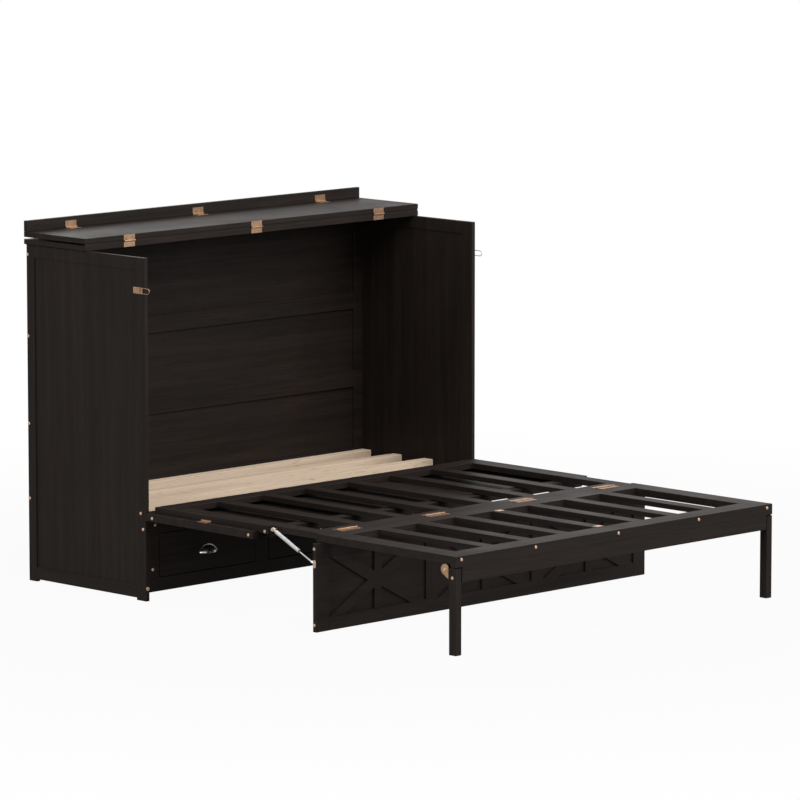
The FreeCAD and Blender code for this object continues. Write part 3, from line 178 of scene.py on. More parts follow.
# Hinge leaves with screws: node, name, body, Y corner, Y insets in turn, Z corner, Z inset, normal, shares
HINGE_LEAVES = (
    ("lid_hinge_fixed_leaves", "lid_hinge_fixed_screws", "cabinet",
     HIGH, (PLATE_FACE,), LOW, LEAF_ROW, TO_FRONT, TWO_SHARES),
    ("lid_hinge_moving_leaves", "lid_hinge_moving_screws", "lid",
     HIGH, (PLATE_FACE,), HIGH, LEAF_ROW, TO_FRONT, TWO_SHARES),
    ("fascia_hinge_lid_leaves", "fascia_hinge_lid_screws", "lid",
     LOW, (FASCIA_ROW,), LOW, SHEET_FACE, UP, TWO_SHARES),
    ("fascia_hinge_moving_leaves", "fascia_hinge_screws", "fascia",
     HIGH, (SHEET_FACE,), HIGH, FASCIA_ROW, TO_FRONT, TWO_SHARES),
    ("fold_hinge_middle_leaves", "fold_hinge_middle_screws", "middle_section",
     HIGH, FOLD_ROWS, LOW, SHEET_FACE, UP, FOUR_SHARES),
    ("fold_hinge_foot_leaves", "fold_hinge_foot_screws", "foot_section",
     LOW, FOLD_ROWS, LOW, SHEET_FACE, UP, FOUR_SHARES),
    ("platform_hinge_fixed_leaves", "platform_hinge_screws", "cabinet",
     HIGH, (LEAF_ROW,), LOW, PLATE_FACE, UP, TWO_SHARES),
)

# Gas springs, metres: rows of (radius, place), for tube, wiper and rod from the upper stud along the spring,
# for eye and socket from their own middle; and how far the socket's middle lies inside the rod's box
SPRING_SIDES = 28
TUBE_PROFILE = ((0.0032, 0.0050), (0.0034, 0.0105), (0.0052, 0.0125), (0.0062, 0.0150), (0.0064, 0.0180),
                (0.0064, 0.1270), (0.0059, 0.1280), (0.0059, 0.1300), (0.0064, 0.1310), (0.0064, 0.1355),
                (0.0060, 0.1370), (0.0042, 0.1380))
WIPER_PROFILE = ((0.0045, 0.1370), (0.0044, 0.1395), (0.0036, 0.1405), (0.0028, 0.1405))
ROD_PROFILE = ((0.0020, 0.1130), (0.0027, 0.1140), (0.0027, 0.2010), (0.0041, 0.2020), (0.0041, 0.2060),
               (0.0034, 0.2070), (0.0034, 0.2130))
EYE_PROFILE = ((0.0031, -0.0034), (0.0060, -0.0034), (0.0066, -0.0028), (0.0066, 0.0028),
               (0.0060, 0.0034), (0.0031, 0.0034))
SOCKET_PROFILE = ((0.0020, -0.0044), (0.0050, -0.0044), (0.0064, -0.0026), (0.0066, 0.0012),
                  (0.0056, 0.0038), (0.0030, 0.0048))
SPRING_END = 0.0070
SMOOTH_LIMIT = math.radians(40.0)

# Leg catches, metres, with the inner and outer radius of the ring
CATCH_RADIUS = 0.0182
CATCH_FLAT = 0.0155
CATCH_TIP = 0.0300
CATCH_STEPS = 26
CATCH_BEVEL = 0.0005
CATCH_RING = (0.0076, 0.0098)
CATCH_RING_PROUD = 0.0004

# Screws of the latch plates, metres: thickness of plate and of barrel, inset and share of the height
LATCH_SHEET = 0.0018
LATCH_BARREL = 0.0058
LATCH_SCREW_INSET = 0.010
LATCH_SCREW_RISE_SHARE = 0.30

# Latch wires, metres
WIRE_FRONT_TURN = 0.0095
WIRE_BACK_TURN = 0.0022
TURN_STEPS = 8
WIRE_SIDES = 10

# Angle brackets, metres and shares of their CAD size; the bend's middle lies one part of three inwards
ANGLE_SHEET = 0.002
ANGLE_BEND = 0.0014
ANGLE_BEND_PARTS = 3
SIDE_ANGLE_RISE = 0.0068
SIDE_ANGLE_LENGTH_SHARE = 0.72
SIDE_ANGLE_REACH_SHARE = 0.72
FRONT_ANGLE_SHARES = (0.25, 0.75)
SIDE_ANGLE_SHARES = (0.2, 0.8)

# The strip on the fixed top that closes the gap under the lid's front edge, metres
REST_END = 0.0015
REST_BACK = 0.0010
REST_DEPTH = 0.0050
REST_CLEAR = 0.0004

# Joint lines between the side frames and the fixed top, dark with painted shadow from the top's overhang, metres:
# how far proud, how high, inset of the ends
JOINT_PROUD = 0.0006
JOINT_HEIGHT = 0.0026
JOINT_END = 0.0010

# Floor, metres: how much of its white covers the shadow near the object, where that starts to grow and
# where it is full; the gloss is the share of the white that shows in reflections
FLOOR_SIZE = 160.0
SHADOW_COVER = 0.95
SHADOW_NEAR = 1.6
SHADOW_FAR = 4.0
FLOOR_GLOSS = 0.45

# Strength of the world as a light, where it is neither seen nor reflected
WORLD_LIGHT = 0.09

# Lights: name, place, target, size in metres, power in watts
LIGHTS = (
    ("key", (2.6, -6.1, 3.7), (0.0, 0.0, 0.5), 3.5, 215.0),
    ("fill", (-6.0, -0.6, 2.6), (0.0, 0.2, 0.6), 4.0, 150.0),
    ("overhead", (-0.4, -2.6, 4.9), (0.0, -0.4, 0.5), 3.5, 230.0),
    ("back", (1.5, 6.2, 2.6), (0.0, 0.3, 0.6), 3.5, 170.0),
)

# Camera, metres and degrees, with the sensor in millimetres; the image is 800 by 800 pixels
IMAGE_WIDTH = 800
SENSOR = 36.0
CAMERA_TURN = math.radians(44.89)
CAMERA_TILT = math.radians(8.06)
CAMERA_AIM = Vector((-0.002, 0.02125, 0.0))
CAMERA_DISTANCE = 19.459
CAMERA_ACROSS = 0.0176
CAMERA_UP = 0.6492
CAMERA_REACH = 300.0
FOCAL_PIXELS = 5616.0


def rgba(colour):
    """A colour with full cover."""
    return (*colour, 1.0)


def new_material(name):
    """A material with its node tree's nodes, its links and its shader."""
    material = bpy.data.materials.new(name)
    material.use_nodes = True
    nodes = material.node_tree.nodes
    return material, nodes, material.node_tree.links, nodes["Principled BSDF"]


def place(nodes, links, scale):
    """Object coordinates, stretched."""
    coordinates = nodes.new("ShaderNodeTexCoord")
    mapping = nodes.new("ShaderNodeMapping")
    mapping.inputs["Scale"].default_value = scale
    links.new(coordinates.outputs["Object"], mapping.inputs["Vector"])
    return mapping.outputs["Vector"]


def noise(nodes, links, scale, detail, distortion=0.0):
    """Fractal noise on stretched object coordinates."""
    vector = place(nodes, links, scale)
    node = nodes.new("ShaderNodeTexNoise")
    node.inputs["Scale"].default_value = 1.0
    node.inputs["Detail"].default_value = detail
    node.inputs["Distortion"].default_value = distortion
    links.new(vector, node.inputs["Vector"])
    return node.outputs["Fac"]


def stretched(axis, along, across):
    """A scale that is small along the grain and large across it."""
    scale = [across, across, across]
    scale[axis] = along
    return scale


def grain(nodes, links, axis, pattern):
    """The noise of a pattern, with its grain along an axis."""
    along, across, detail, distortion = pattern
    return noise(nodes, links, stretched(axis, along, across), detail, distortion)


def ramp(nodes, links, factor, stops):
    """A colour ramp with (position, colour) stops."""
    node = nodes.new("ShaderNodeValToRGB")
    elements = node.color_ramp.elements
    for element, (position, colour) in zip((elements[0], elements[1]), (stops[0], stops[-1])):
        element.position = position
        element.color = rgba(colour)
    for position, colour in stops[1:-1]:
        elements.new(position).color = rgba(colour)
    links.new(factor, node.inputs["Fac"])
    return node.outputs["Color"]


def remap(nodes, links, value, limits):
    """A value moved from one range to another, and kept inside it."""
    node = nodes.new("ShaderNodeMapRange")
    for name, number in zip(("From Min", "From Max", "To Min", "To Max"), limits):
        node.inputs[name].default_value = number
    links.new(value, node.inputs["Value"])
    return node.outputs["Result"]


def mix(nodes, links, factor, first, second):
    """A colour mixed by a factor with a fixed one."""
    node = nodes.new("ShaderNodeMix")
    node.data_type = "RGBA"
    links.new(factor, node.inputs[MIX_SHARE])
    links.new(first, node.inputs[MIX_FIRST])
    node.inputs[MIX_SECOND].default_value = rgba(second)
    return node.outputs[MIX_RESULT]


def bump(nodes, links, shader, height, relief):
    """Relief of some strength and depth on a shader's normal."""
    node = nodes.new("ShaderNodeBump")
    node.inputs["Strength"].default_value, node.inputs["Distance"].default_value = relief
    links.new(height, node.inputs["Height"])
    links.new(node.outputs["Normal"], shader.inputs["Normal"])


def espresso(axis):
    """Dark stained hardwood under a satin lacquer, with its grain along one axis."""
    material, nodes, links, shader = new_material("espresso_grain_" + "xyz"[axis])
    colour = ramp(nodes, links, grain(nodes, links, axis, ESPRESSO_FIGURE), ESPRESSO_STOPS)
    streaks = remap(nodes, links, grain(nodes, links, axis, ESPRESSO_STREAKS), STREAK_RANGE)
    colour = mix(nodes, links, streaks, colour, ESPRESSO_RED)
    fine = grain(nodes, links, axis, ESPRESSO_FINE)
    colour = mix(nodes, links, remap(nodes, links, fine, PORE_RANGE), colour, ESPRESSO_PORE)
    wear = grain(nodes, links, axis, ESPRESSO_WEAR)
    colour = mix(nodes, links, remap(nodes, links, wear, WEAR_RANGE), colour, ESPRESSO_LIGHT)
    links.new(colour, shader.inputs["Base Color"])
    links.new(remap(nodes, links, wear, POLISH_NOISE + ESPRESSO_POLISH), shader.inputs["Roughness"])
    shader.inputs["Specular IOR Level"].default_value = ESPRESSO_SHEEN
    bump(nodes, links, shader, fine, ESPRESSO_RELIEF)
    return material


def bare_pine():
    """Bare sanded pine with grain along X, darker late wood and a few knots."""
    material, nodes, links, shader = new_material("bare_pine")
    colour = ramp(nodes, links, grain(nodes, links, X, PINE_FIGURE), PINE_STOPS)
    broad = remap(nodes, links, grain(nodes, links, X, PINE_BROAD), PALE_RANGE)
    colour = mix(nodes, links, broad, colour, PINE_PALE)
    cells = nodes.new("ShaderNodeTexVoronoi")
    cells.inputs["Scale"].default_value = 1.0
    links.new(place(nodes, links, stretched(X, *PINE_KNOT_CELLS)), cells.inputs["Vector"])
    knots = remap(nodes, links, cells.outputs["Distance"], KNOT_RANGE)
    colour = mix(nodes, links, knots, colour, PINE_KNOT)
    flecks = remap(nodes, links, grain(nodes, links, X, PINE_FLECKS), FLECK_RANGE)
    colour = mix(nodes, links, flecks, colour, PINE_DARK)
    links.new(colour, shader.inputs["Base Color"])
    fibres = grain(nodes, links, X, PINE_FIBRES)
    links.new(remap(nodes, links, fibres, POLISH_NOISE + PINE_POLISH), shader.inputs["Roughness"])
    bump(nodes, links, shader, fibres, PINE_RELIEF)
    return material


def metal(name, bright, aged, polish, scratch_scale, metallic):
    """Metal or paint with a drifting tone, fine scratches and an uneven polish."""
    material, nodes, links, shader = new_material(name)
    stops = tuple(zip(METAL_STOPS, (bright, aged)))
    tone = ramp(nodes, links, grain(nodes, links, X, METAL_DRIFT), stops)
    links.new(tone, shader.inputs["Base Color"])
    scratches = noise(nodes, links, scratch_scale, SCRATCH_DETAIL)
    links.new(remap(nodes, links, scratches, POLISH_NOISE + polish), shader.inputs["Roughness"])
    shader.inputs["Metallic"].default_value = metallic
    bump(nodes, links, shader, scratches, METAL_RELIEF)
    return material


def rubber():
    """Matt black rubber."""
    material, nodes, links, shader = new_material("black_rubber")
    dust = grain(nodes, links, X, RUBBER_GRAIN)
    links.new(ramp(nodes, links, dust, RUBBER_STOPS), shader.inputs["Base Color"])
    shader.inputs["Roughness"].default_value = RUBBER_ROUGHNESS
    bump(nodes, links, shader, dust, RUBBER_RELIEF)
    return material


def painted_joint_shadow():
    """Painted shadow: the near black of the shade in the joint between two boards, under the fixed top's overhang.
    """
    material, nodes, links, shader = new_material("painted_joint_shadow")
    shadow_noise = grain(nodes, links, X, JOINT_GRAIN)
    links.new(ramp(nodes, links, shadow_noise, JOINT_SHADOW_STOPS), shader.inputs["Base Color"])
    shader.inputs["Roughness"].default_value = JOINT_ROUGHNESS
    shader.inputs["Specular IOR Level"].default_value = 0.0
    return material


def board_axes(mesh):
    """For each polygon, the axis of the longest side of the solid that it belongs to."""
    parent = {}

    def root(key):
        while parent.setdefault(key, key) != key:
            parent[key] = parent[parent[key]]
            key = parent[key]
        return key

    keys = [tuple(round(value, CORNER_DECIMALS) for value in vertex.co) for vertex in mesh.vertices]
    for polygon in mesh.polygons:
        first = root(keys[polygon.vertices[0]])
        for index in polygon.vertices[1:]:
            parent[root(keys[index])] = first
    limits = {}
    for key in set(keys):
        low, high = limits.setdefault(root(key), (list(key), list(key)))
        for axis in (X, Y, Z):
            low[axis] = min(low[axis], key[axis])
            high[axis] = max(high[axis], key[axis])
    longest = {name: max((X, Y, Z), key=lambda axis: pair[HIGH][axis] - pair[LOW][axis])
               for name, pair in limits.items()}
    return [longest[root(keys[polygon.vertices[0]])] for polygon in mesh.polygons]


def dress(names, materials):
    """Gives nodes their materials: one, or one for each direction of the grain."""
    for name in names:
        mesh = NODES[name].data
        mesh.materials.clear()
        for material in materials:
            mesh.materials.append(material)
        if len(materials) > 1:
            for polygon, axis in zip(mesh.polygons, board_axes(mesh)):
                polygon.material_index = axis


def slot_nodes(slot):
    """The nodes that the record gives a material slot."""
    return [part["node"] for part in frame["record"]["subparts"] if part["material_slot"] == slot]


def dress_all():
    """Materials of every node of the frame; gives those that added pieces share."""
    looks = {slot: metal(*look) for slot, look in METALS.items()}
    looks["rubber"] = rubber()
    looks["pine"] = bare_pine()
    boards = [espresso(axis) for axis in (X, Y, Z)]
    dress(slot_nodes("dark_wood"), boards)
    for slot, material in looks.items():
        dress(slot_nodes(slot), [material])
    dress(BOLT_NODES, [metal(*BOLT_METAL)])
    looks["board"] = boards[X]
    return looks


def add_mesh(name, vertices, faces, material, body, slot):
    """A mesh piece that rides on a body."""
    mesh = bpy.data.meshes.new(name)
    mesh.from_pydata(vertices, [], faces)
    mesh.materials.append(material)
    shell = bmesh.new()
    shell.from_mesh(mesh)
    bmesh.ops.recalc_face_normals(shell, faces=shell.faces)
    shell.to_mesh(mesh)
    shell.free()
    mesh.update()
    piece = bpy.data.objects.new(name, mesh)
    bpy.context.scene.collection.objects.link(piece)
    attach(piece, body)
    return piece


def smooth_sides(piece):
    """Smooth shading, with sharp edges kept crisp."""
    piece.data.shade_smooth()
    piece.data.set_sharp_from_angle(angle=SMOOTH_LIMIT)


def sleeve(faces, start, rings, sides):
    """Joins rings of vertices, one after the other, with quads."""
    for ring in range(rings - 1):
        for step in range(sides):
            low = start + ring * sides
            after = (step + 1) % sides
            faces.append((low + step, low + after, low + sides + after, low + sides + step))


def caps(faces, start, rings, sides):
    """Closes the last and the first ring."""
    top = start + (rings - 1) * sides
    faces.append(tuple(range(top, top + sides)))
    faces.append(tuple(reversed(range(start, start + sides))))


def turned(vertices, faces, matrix, profile, sides):
    """Adds a turned form, from (radius, height) points, closed at both ends."""
    start = len(vertices)
    for radius, height in profile:
        for step in range(sides):
            angle = 2 * math.pi * step / sides
            vertices.append(matrix @ Vector((radius * math.cos(angle), radius * math.sin(angle), height)))
    sleeve(faces, start, len(profile), sides)
    caps(faces, start, len(profile), sides)


def cross_shape(vertices, faces, matrix):
    """Adds the cross of a screw's slot as a flat mark of painted shade, just above the head's flat."""
    arm = CROSS_LENGTH / 2
    half = CROSS_WIDTH / 2
    outline = ((arm, -half), (arm, half), (half, half), (half, arm), (-half, arm), (-half, half),
               (-arm, half), (-arm, -half), (-half, -half), (-half, -arm), (half, -arm), (half, -half))
    start = len(vertices)
    count = len(outline)
    for height in (SCREW_PROUD + CROSS_LIFT, 0.0):
        vertices.extend(matrix @ Vector((x, y, height)) for x, y in outline)
    faces.append(tuple(range(start, start + count)))
    faces.append(tuple(reversed(range(start + count, start + 2 * count))))
    for step in range(count):
        after = (step + 1) % count
        faces.append((start + after, start + step, start + count + step, start + count + after))


def add_screws(name, body, places, material, shade):
    """Countersunk screws at (point, normal) places: one piece of heads and one of their slots."""
    profile = ((SCREW_RADIUS, -SCREW_SEAT), (SCREW_RADIUS, SCREW_PROUD * SCREW_RIM_SHARE),
               (SCREW_RADIUS * SCREW_TOP_SHARE, SCREW_PROUD))
    heads = ([], [])
    crosses = ([], [])
    for index, (at, normal) in enumerate(places):
        facing = normal.to_track_quat("Z", "Y").to_matrix().to_4x4()
        matrix = Matrix.Translation(at) @ facing @ Matrix.Rotation(index * SCREW_TURN, 4, "Z")
        turned(*heads, matrix, profile, SCREW_SIDES)
        cross_shape(*crosses, matrix)
    add_mesh(name + "_heads", *heads, material, body, "copper")
    add_mesh(name + "_slots", *crosses, shade, body, "copper")


def islands_x(node):
    """The (low, high) X pairs of a node's solids that stand apart, from left to right."""
    spans = []
    for polygon in NODES[node].data.polygons:
        xs = [NODES[node].data.vertices[index].co.x for index in polygon.vertices]
        spans.append((min(xs), max(xs)))
    spans.sort()
    merged = [list(spans[0])]
    for low, high in spans[1:]:
        if low <= merged[-1][HIGH] + ISLAND_GAP:
            merged[-1][HIGH] = max(merged[-1][HIGH], high)
        else:
            merged.append([low, high])
    return [tuple(pair) for pair in merged]


def inset(corners, corner, axis, distance):
    """A coordinate some way inwards from a box's low or high corner."""
    sign = 1.0 if corner == LOW else -1.0
    return corners[corner][axis] + sign * distance


def hinge_screws(copper, shade):
    """Screws of all the butt hinges that show."""
    for node, name, body, y_corner, y_insets, z_corner, z_inset, normal, shares in HINGE_LEAVES:
        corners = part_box(node)
        z = inset(corners, z_corner, Z, z_inset)
        places = []
        for low, high in islands_x(node):
            for index, share in enumerate(shares):
                y = inset(corners, y_corner, Y, y_insets[index % len(y_insets)])
                places.append((Vector((low + share * (high - low), y, z)), normal))
        add_screws(name, body, places, copper, shade)


def latch_screws(copper, shade):
    """Two screws on each latch plate, behind the barrel."""
    low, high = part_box("latch_plates")
    middle = (low.z + high.z) / 2
    rise = (high.z - low.z) * LATCH_SCREW_RISE_SHARE
    places = []
    for x, sign in ((low.x, -1.0), (high.x, 1.0)):
        face = x - sign * (LATCH_BARREL - LATCH_SHEET)
        for offset in (-rise, rise):
            places.append((Vector((face, high.y - LATCH_SCREW_INSET, middle + offset)), sign * RIGHT))
    add_screws("latch_screws", "cabinet", places, copper, shade)


def joint(name):
    """A joint of the record by its name."""
    return next(row for row in frame["joints"] if row["name"] == name)


def spring_piece(name, forms, material, body, slot):
    """A smooth piece of (matrix, profile) turned forms."""
    shape = ([], [])
    for matrix, profile in forms:
        turned(*shape, matrix, profile, SPRING_SIDES)
    piece = add_mesh(name, *shape, material, body, slot)
    smooth_sides(piece)
    return piece


def gas_spring(side, looks):
    """A slim painted tube with a rolled groove, its wiper, and a polished rod with a ball socket."""
    upper = Vector(joint("spring_stud_" + side)["pos_m"])
    heading = Vector(joint("spring_stroke_" + side)["axis"]).normalized()
    along = Matrix.Translation(upper) @ heading.to_track_quat("Z", "Y").to_matrix().to_4x4()
    across = Matrix.Rotation(math.pi / 2, 4, "Y")
    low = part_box("gas_spring_rod_" + side)[LOW]
    lower = Vector((upper.x, low.y + SPRING_END, low.z + SPRING_END))
    tube = ((along, TUBE_PROFILE), (Matrix.Translation(upper) @ across, EYE_PROFILE))
    socket = ((Matrix.Translation(lower) @ across, SOCKET_PROFILE),)
    piece = spring_piece("gas_spring_tube_" + side, tube, looks["grey_paint"],
                         "spring_cylinder_" + side, "grey_paint")
    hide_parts("gas_spring_cylinder_" + side)
    spring_piece("gas_spring_wiper_" + side, ((along, WIPER_PROFILE),), looks["rubber"],
                 "spring_cylinder_" + side, "rubber")
    piece = spring_piece("gas_spring_shaft_" + side, ((along, ROD_PROFILE),), looks["steel"],
                         "spring_rod_" + side, "steel")
    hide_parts("gas_spring_rod_" + side)
    spring_piece("gas_spring_socket_" + side, socket, looks["rubber"], "spring_rod_" + side, "rubber")


def catch_outline():
    """The catch's (y, z) outline about its pivot: round at the back, flat against the leg, pointed below."""
    start = math.pi - math.acos(CATCH_FLAT / CATCH_RADIUS)
    reach = math.hypot(CATCH_FLAT, CATCH_TIP)
    end = math.atan2(-CATCH_TIP, -CATCH_FLAT) + math.acos(CATCH_RADIUS / reach)
    angles = [start + (end - start) * step / CATCH_STEPS for step in range(CATCH_STEPS + 1)]
    points = [(CATCH_RADIUS * math.cos(angle), CATCH_RADIUS * math.sin(angle)) for angle in angles]
    return points + [(-CATCH_FLAT, -CATCH_TIP)]


def leg_catch(side, copper):
    """A pressed copper plate with eased edges and a raised ring round its pivot."""
    pivot = Vector(joint("catch_pivot_" + side)["pos_m"])
    low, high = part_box("leg_catch_" + side)
    outer, inner = (low.x, high.x) if side == "left" else (high.x, low.x)
    sign = -1.0 if side == "left" else 1.0
    outline = catch_outline()
    count = len(outline)
    layers = ((inner, 1.0), (outer - sign * CATCH_BEVEL, 1.0), (outer, 1.0 - CATCH_BEVEL / CATCH_RADIUS))
    vertices = [Vector((x, pivot.y + share * y, pivot.z + share * z))
                for x, share in layers for y, z in outline]
    faces = []
    sleeve(faces, 0, len(layers), count)
    caps(faces, 0, len(layers), count)
    turn = Matrix.Rotation(sign * math.pi / 2, 4, "Y")
    ring_in, ring_out = CATCH_RING
    ring = ((ring_in, -CATCH_BEVEL), (ring_in, CATCH_RING_PROUD / 2),
            (ring_in + CATCH_BEVEL, CATCH_RING_PROUD), (ring_out - CATCH_BEVEL, CATCH_RING_PROUD),
            (ring_out, CATCH_RING_PROUD / 2), (ring_out, -CATCH_BEVEL))
    turned(vertices, faces, Matrix.Translation((outer, pivot.y, pivot.z)) @ turn, ring, SPRING_SIDES)
    piece = add_mesh("leg_catch_plate_" + side, vertices, faces, copper, "catch_" + side, "copper")
    smooth_sides(piece)
    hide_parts("leg_catch_" + side)


def arc(centre, radius, start):
    """Points of a quarter turn in a plane, anticlockwise from an angle."""
    angles = [start + math.pi / 2 * step / TURN_STEPS for step in range(TURN_STEPS + 1)]
    return [(centre[0] + radius * math.cos(angle), centre[1] + radius * math.sin(angle)) for angle in angles]


def wire_path(low, high, radius):
    """The (y, z) middle line of a latch wire: wide turns at its front, tight ones at its barrel."""
    front = low.y + radius + WIRE_FRONT_TURN
    back = high.y - radius - WIRE_BACK_TURN
    bottom = low.z + radius
    top = high.z - radius
    return (arc((back, top - WIRE_BACK_TURN), WIRE_BACK_TURN, 0.0)
            + arc((front, top - WIRE_FRONT_TURN), WIRE_FRONT_TURN, math.pi / 2)
            + arc((front, bottom + WIRE_FRONT_TURN), WIRE_FRONT_TURN, math.pi)
            + arc((back, bottom + WIRE_BACK_TURN), WIRE_BACK_TURN, -math.pi / 2))


def latch_wire(side, copper):
    """A bent copper wire: a loop with a rounded front, closed round the latch's barrel."""
    low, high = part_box("latch_bail_" + side)
    radius = (high.x - low.x) / 2
    x = (low.x + high.x) / 2
    path = wire_path(low, high, radius)
    count = len(path)
    vertices = []
    faces = []
    for index, (y, z) in enumerate(path):
        before = path[index - 1]
        after = path[(index + 1) % count]
        heading = Vector((0.0, after[0] - before[0], after[1] - before[1])).normalized()
        outward = heading.cross(RIGHT)
        for step in range(WIRE_SIDES):
            angle = 2 * math.pi * step / WIRE_SIDES
            ring = outward * math.cos(angle) + Vector((math.sin(angle), 0.0, 0.0))
            vertices.append(Vector((x, y, z)) + radius * ring)
    for index in range(count):
        low_row = index * WIRE_SIDES
        high_row = (index + 1) % count * WIRE_SIDES
        for step in range(WIRE_SIDES):
            after = (step + 1) % WIRE_SIDES
            faces.append((low_row + step, low_row + after, high_row + after, high_row + step))
    piece = add_mesh("latch_wire_" + side, vertices, faces, copper, "bail_" + side, "copper")
    smooth_sides(piece)
    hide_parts("latch_bail_" + side)


def island_boxes(node):
    """The lowest and highest corners of a node's solids that stand apart along X."""
    points = [vertex.co for vertex in NODES[node].data.vertices]
    boxes = []
    for low, high in islands_x(node):
        inside = [point for point in points if low - ISLAND_MARGIN <= point.x <= high + ISLAND_MARGIN]
        boxes.append((Vector([min(point[axis] for point in inside) for axis in (X, Y, Z)]),
                      Vector([max(point[axis] for point in inside) for axis in (X, Y, Z)])))
    return boxes


def bent_plate(vertices, faces, corner, out, along, foot, rise):
    """Adds an angle of sheet metal with a rounded inner bend, from its lower corner."""
    inner = ANGLE_SHEET + ANGLE_BEND
    eased = ANGLE_SHEET + ANGLE_BEND / ANGLE_BEND_PARTS
    profile = ((0.0, 0.0), (foot, 0.0), (foot, ANGLE_SHEET), (inner, ANGLE_SHEET), (eased, eased),
               (ANGLE_SHEET, inner), (ANGLE_SHEET, rise), (0.0, rise))
    start = len(vertices)
    count = len(profile)
    for end in (Vector(), along):
        vertices.extend(corner + end + out * reach + UP * height for reach, height in profile)
    faces.append(tuple(range(start, start + count)))
    faces.append(tuple(reversed(range(start + count, start + 2 * count))))
    for step in range(count):
        after = (step + 1) % count
        faces.append((start + step, start + count + step, start + count + after, start + after))


def angle_brackets(copper, shade):
    """Bent copper angles of the middle section with their screws; the two side ones are low and long."""
    boxes = island_boxes("angle_brackets")
    vertices = []
    faces = []
    places = []
    for low, high in boxes[1:-1]:
        width = high.x - low.x
        bent_plate(vertices, faces, low, TO_BACK, RIGHT * width, high.y - low.y, high.z - low.z)
        height = (low.z + high.z) / 2
        for share in FRONT_ANGLE_SHARES:
            places.append((Vector((low.x + share * width, low.y + ANGLE_SHEET, height)), TO_BACK))
    for (low, high), sign in zip((boxes[0], boxes[-1]), (-1.0, 1.0)):
        length = (high.y - low.y) * SIDE_ANGLE_LENGTH_SHARE
        foot = high.x - low.x
        inner = low.x if sign > 0 else high.x
        corner = Vector((inner, high.y - length, low.z))
        bent_plate(vertices, faces, corner, sign * RIGHT, TO_BACK * length, foot, SIDE_ANGLE_RISE)
        x = inner + sign * foot * SIDE_ANGLE_REACH_SHARE
        for share in SIDE_ANGLE_SHARES:
            places.append((Vector((x, corner.y + share * length, low.z + ANGLE_SHEET)), UP))
    piece = add_mesh("bent_angle_plates", vertices, faces, copper, "middle_section", "copper")
    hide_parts("angle_brackets")
    add_screws("angle_screws", "middle_section", places, copper, shade)


def box_shape(vertices, faces, low, high):
    """Adds a box between two corners."""
    start = len(vertices)
    vertices.extend((x, y, z) for x in (low[X], high[X])
                    for y in (low[Y], high[Y]) for z in (low[Z], high[Z]))
    sides = ((0, 1, 3, 2), (4, 6, 7, 5), (0, 4, 5, 1), (2, 3, 7, 6), (0, 2, 6, 4), (1, 5, 7, 3))
    faces.extend(tuple(start + index for index in side) for side in sides)


def lid_rest(wood):
    """The thin strip that closes the gap under the lid's front edge."""
    low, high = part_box("fixed_top")
    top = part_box("lid_board")[LOW].z - REST_CLEAR
    half = high.x - REST_END
    front = low.y + REST_BACK
    shape = ([], [])
    box_shape(*shape, (-half, front, high.z), (half, front + REST_DEPTH, top))
    add_mesh("lid_rest_strip", *shape, wood, "cabinet", "dark_wood")


def top_joint_shadows(dark):
    """The joint lines between the side frames and the fixed top, dark with painted shadow from the top's overhang.
    """
    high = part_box("side_frame_right")[HIGH]
    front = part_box("fixed_top")[LOW].y + JOINT_END
    shape = ([], [])
    for sign in (-1.0, 1.0):
        left, right = sorted((sign * (high.x - JOINT_PROUD), sign * (high.x + JOINT_PROUD)))
        box_shape(*shape, (left, front, high.z - JOINT_HEIGHT), (right, high.y - JOINT_END, high.z))
    add_mesh("top_joint_shadow_lines", *shape, dark, "cabinet", "dark_wood")


def math_node(nodes, operation):
    """A node that works on numbers."""
    node = nodes.new("ShaderNodeMath")
    node.operation = operation
    return node


def floor_material():
    """A pale floor in the light, white to the camera and partly white in reflections."""
    material, nodes, links, shader = new_material("pale_floor")
    shader.inputs["Base Color"].default_value = rgba(FLOOR)
    shader.inputs["Roughness"].default_value = FLOOR_ROUGHNESS
    shader.inputs["Specular IOR Level"].default_value = 0.0
    path = nodes.new("ShaderNodeLightPath")
    glow = nodes.new("ShaderNodeEmission")
    glow.inputs["Color"].default_value = rgba(WHITE)
    coordinates = nodes.new("ShaderNodeTexCoord")
    distance = nodes.new("ShaderNodeVectorMath")
    distance.operation = "LENGTH"
    links.new(coordinates.outputs["Object"], distance.inputs[0])
    cover = remap(nodes, links, distance.outputs["Value"], (SHADOW_NEAR, SHADOW_FAR, SHADOW_COVER, 1.0))
    seen = math_node(nodes, "MULTIPLY_ADD")
    seen.inputs[1].default_value = FLOOR_GLOSS
    links.new(path.outputs["Is Glossy Ray"], seen.inputs[0])
    links.new(path.outputs["Is Camera Ray"], seen.inputs[2])
    share = math_node(nodes, "MULTIPLY")
    links.new(seen.outputs[0], share.inputs[0])
    links.new(cover, share.inputs[1])
    blend = nodes.new("ShaderNodeMixShader")
    links.new(share.outputs[0], blend.inputs["Fac"])
    links.new(shader.outputs["BSDF"], blend.inputs[1])
    links.new(glow.outputs["Emission"], blend.inputs[2])
    links.new(blend.outputs["Shader"], nodes["Material Output"].inputs["Surface"])
    return material


def build_stage():
    """The floor, which keeps a faint shadow near the object."""
    bpy.ops.mesh.primitive_plane_add(size=FLOOR_SIZE, location=(0.0, 0.0, 0.0))
    floor = bpy.context.object
    floor.name = "floor"
    floor.data.materials.append(floor_material())


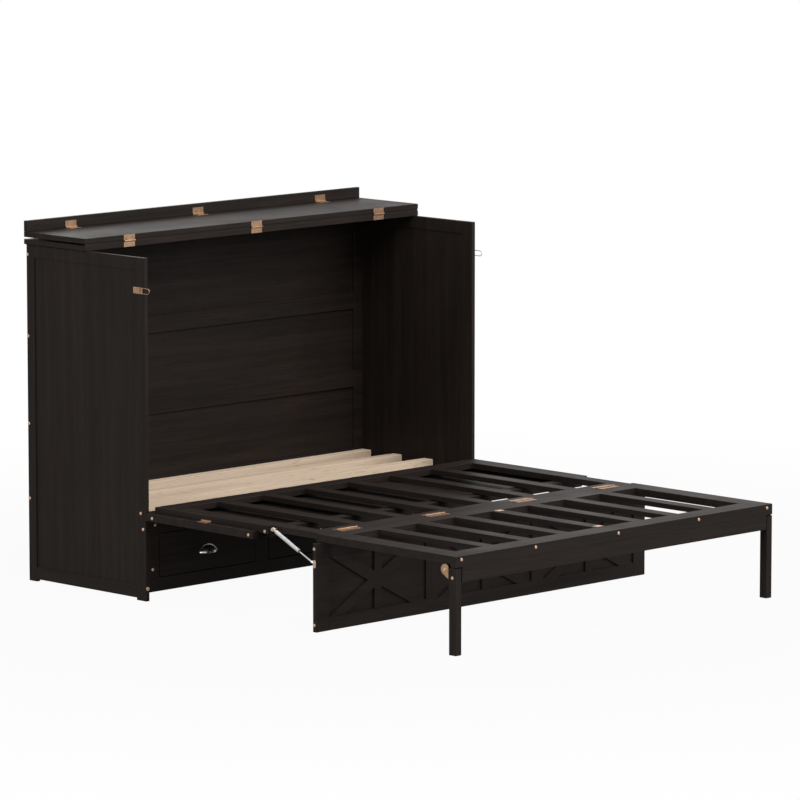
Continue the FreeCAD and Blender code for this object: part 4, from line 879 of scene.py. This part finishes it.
def build_world():
    """White to the camera and in reflections, a softer grey as light."""
    world = bpy.data.worlds.new("studio")
    bpy.context.scene.world = world
    world.use_nodes = True
    nodes = world.node_tree.nodes
    links = world.node_tree.links
    background = nodes["Background"]
    background.inputs["Color"].default_value = rgba(WHITE)
    path = nodes.new("ShaderNodeLightPath")
    seen = math_node(nodes, "MAXIMUM")
    links.new(path.outputs["Is Camera Ray"], seen.inputs[0])
    links.new(path.outputs["Is Glossy Ray"], seen.inputs[1])
    strength = remap(nodes, links, seen.outputs[0], (0.0, 1.0, WORLD_LIGHT, 1.0))
    links.new(strength, background.inputs["Strength"])


def add_light(name, location, target, size, power):
    """A square area light that looks at a point."""
    data = bpy.data.lights.new(name, "AREA")
    data.shape = "SQUARE"
    data.size = size
    data.energy = power
    light = bpy.data.objects.new(name, data)
    light.location = location
    light.rotation_euler = (Vector(target) - Vector(location)).to_track_quat("-Z", "Y").to_euler()
    bpy.context.scene.collection.objects.link(light)


def build_lights():
    """A broad key from the front right, a fill from the left, one from above the front, one at the back."""
    for row in LIGHTS:
        add_light(*row)


def build_camera():
    """The photograph's view: almost level, from the front left."""
    look = Vector((math.sin(CAMERA_TURN) * math.cos(CAMERA_TILT),
                   math.cos(CAMERA_TURN) * math.cos(CAMERA_TILT), -math.sin(CAMERA_TILT)))
    right = Vector((math.cos(CAMERA_TURN), -math.sin(CAMERA_TURN), 0.0))
    up = right.cross(look)
    data = bpy.data.cameras.new("camera")
    data.sensor_width = SENSOR
    data.lens = FOCAL_PIXELS / IMAGE_WIDTH * SENSOR
    data.clip_end = CAMERA_REACH
    camera = bpy.data.objects.new("camera", data)
    place_at = CAMERA_AIM - look * CAMERA_DISTANCE + right * CAMERA_ACROSS + up * CAMERA_UP
    camera.matrix_world = Matrix.Translation(place_at) @ Matrix((right, up, -look)).transposed().to_4x4()
    bpy.context.scene.collection.objects.link(camera)
    bpy.context.scene.camera = camera


def build():
    """Materials, added pieces, stage, light and camera."""
    looks = dress_all()
    shade = metal(*SLOT_METAL)
    hinge_screws(looks["copper"], shade)
    latch_screws(looks["copper"], shade)
    for side in ("left", "right"):
        gas_spring(side, looks)
        leg_catch(side, looks["copper"])
        latch_wire(side, looks["copper"])
    angle_brackets(looks["copper"], shade)
    lid_rest(looks["board"])
    top_joint_shadows(painted_joint_shadow())
    build_stage()
    build_world()
    build_lights()
    build_camera()
    bpy.context.scene.view_settings.view_transform = "Standard"


build()
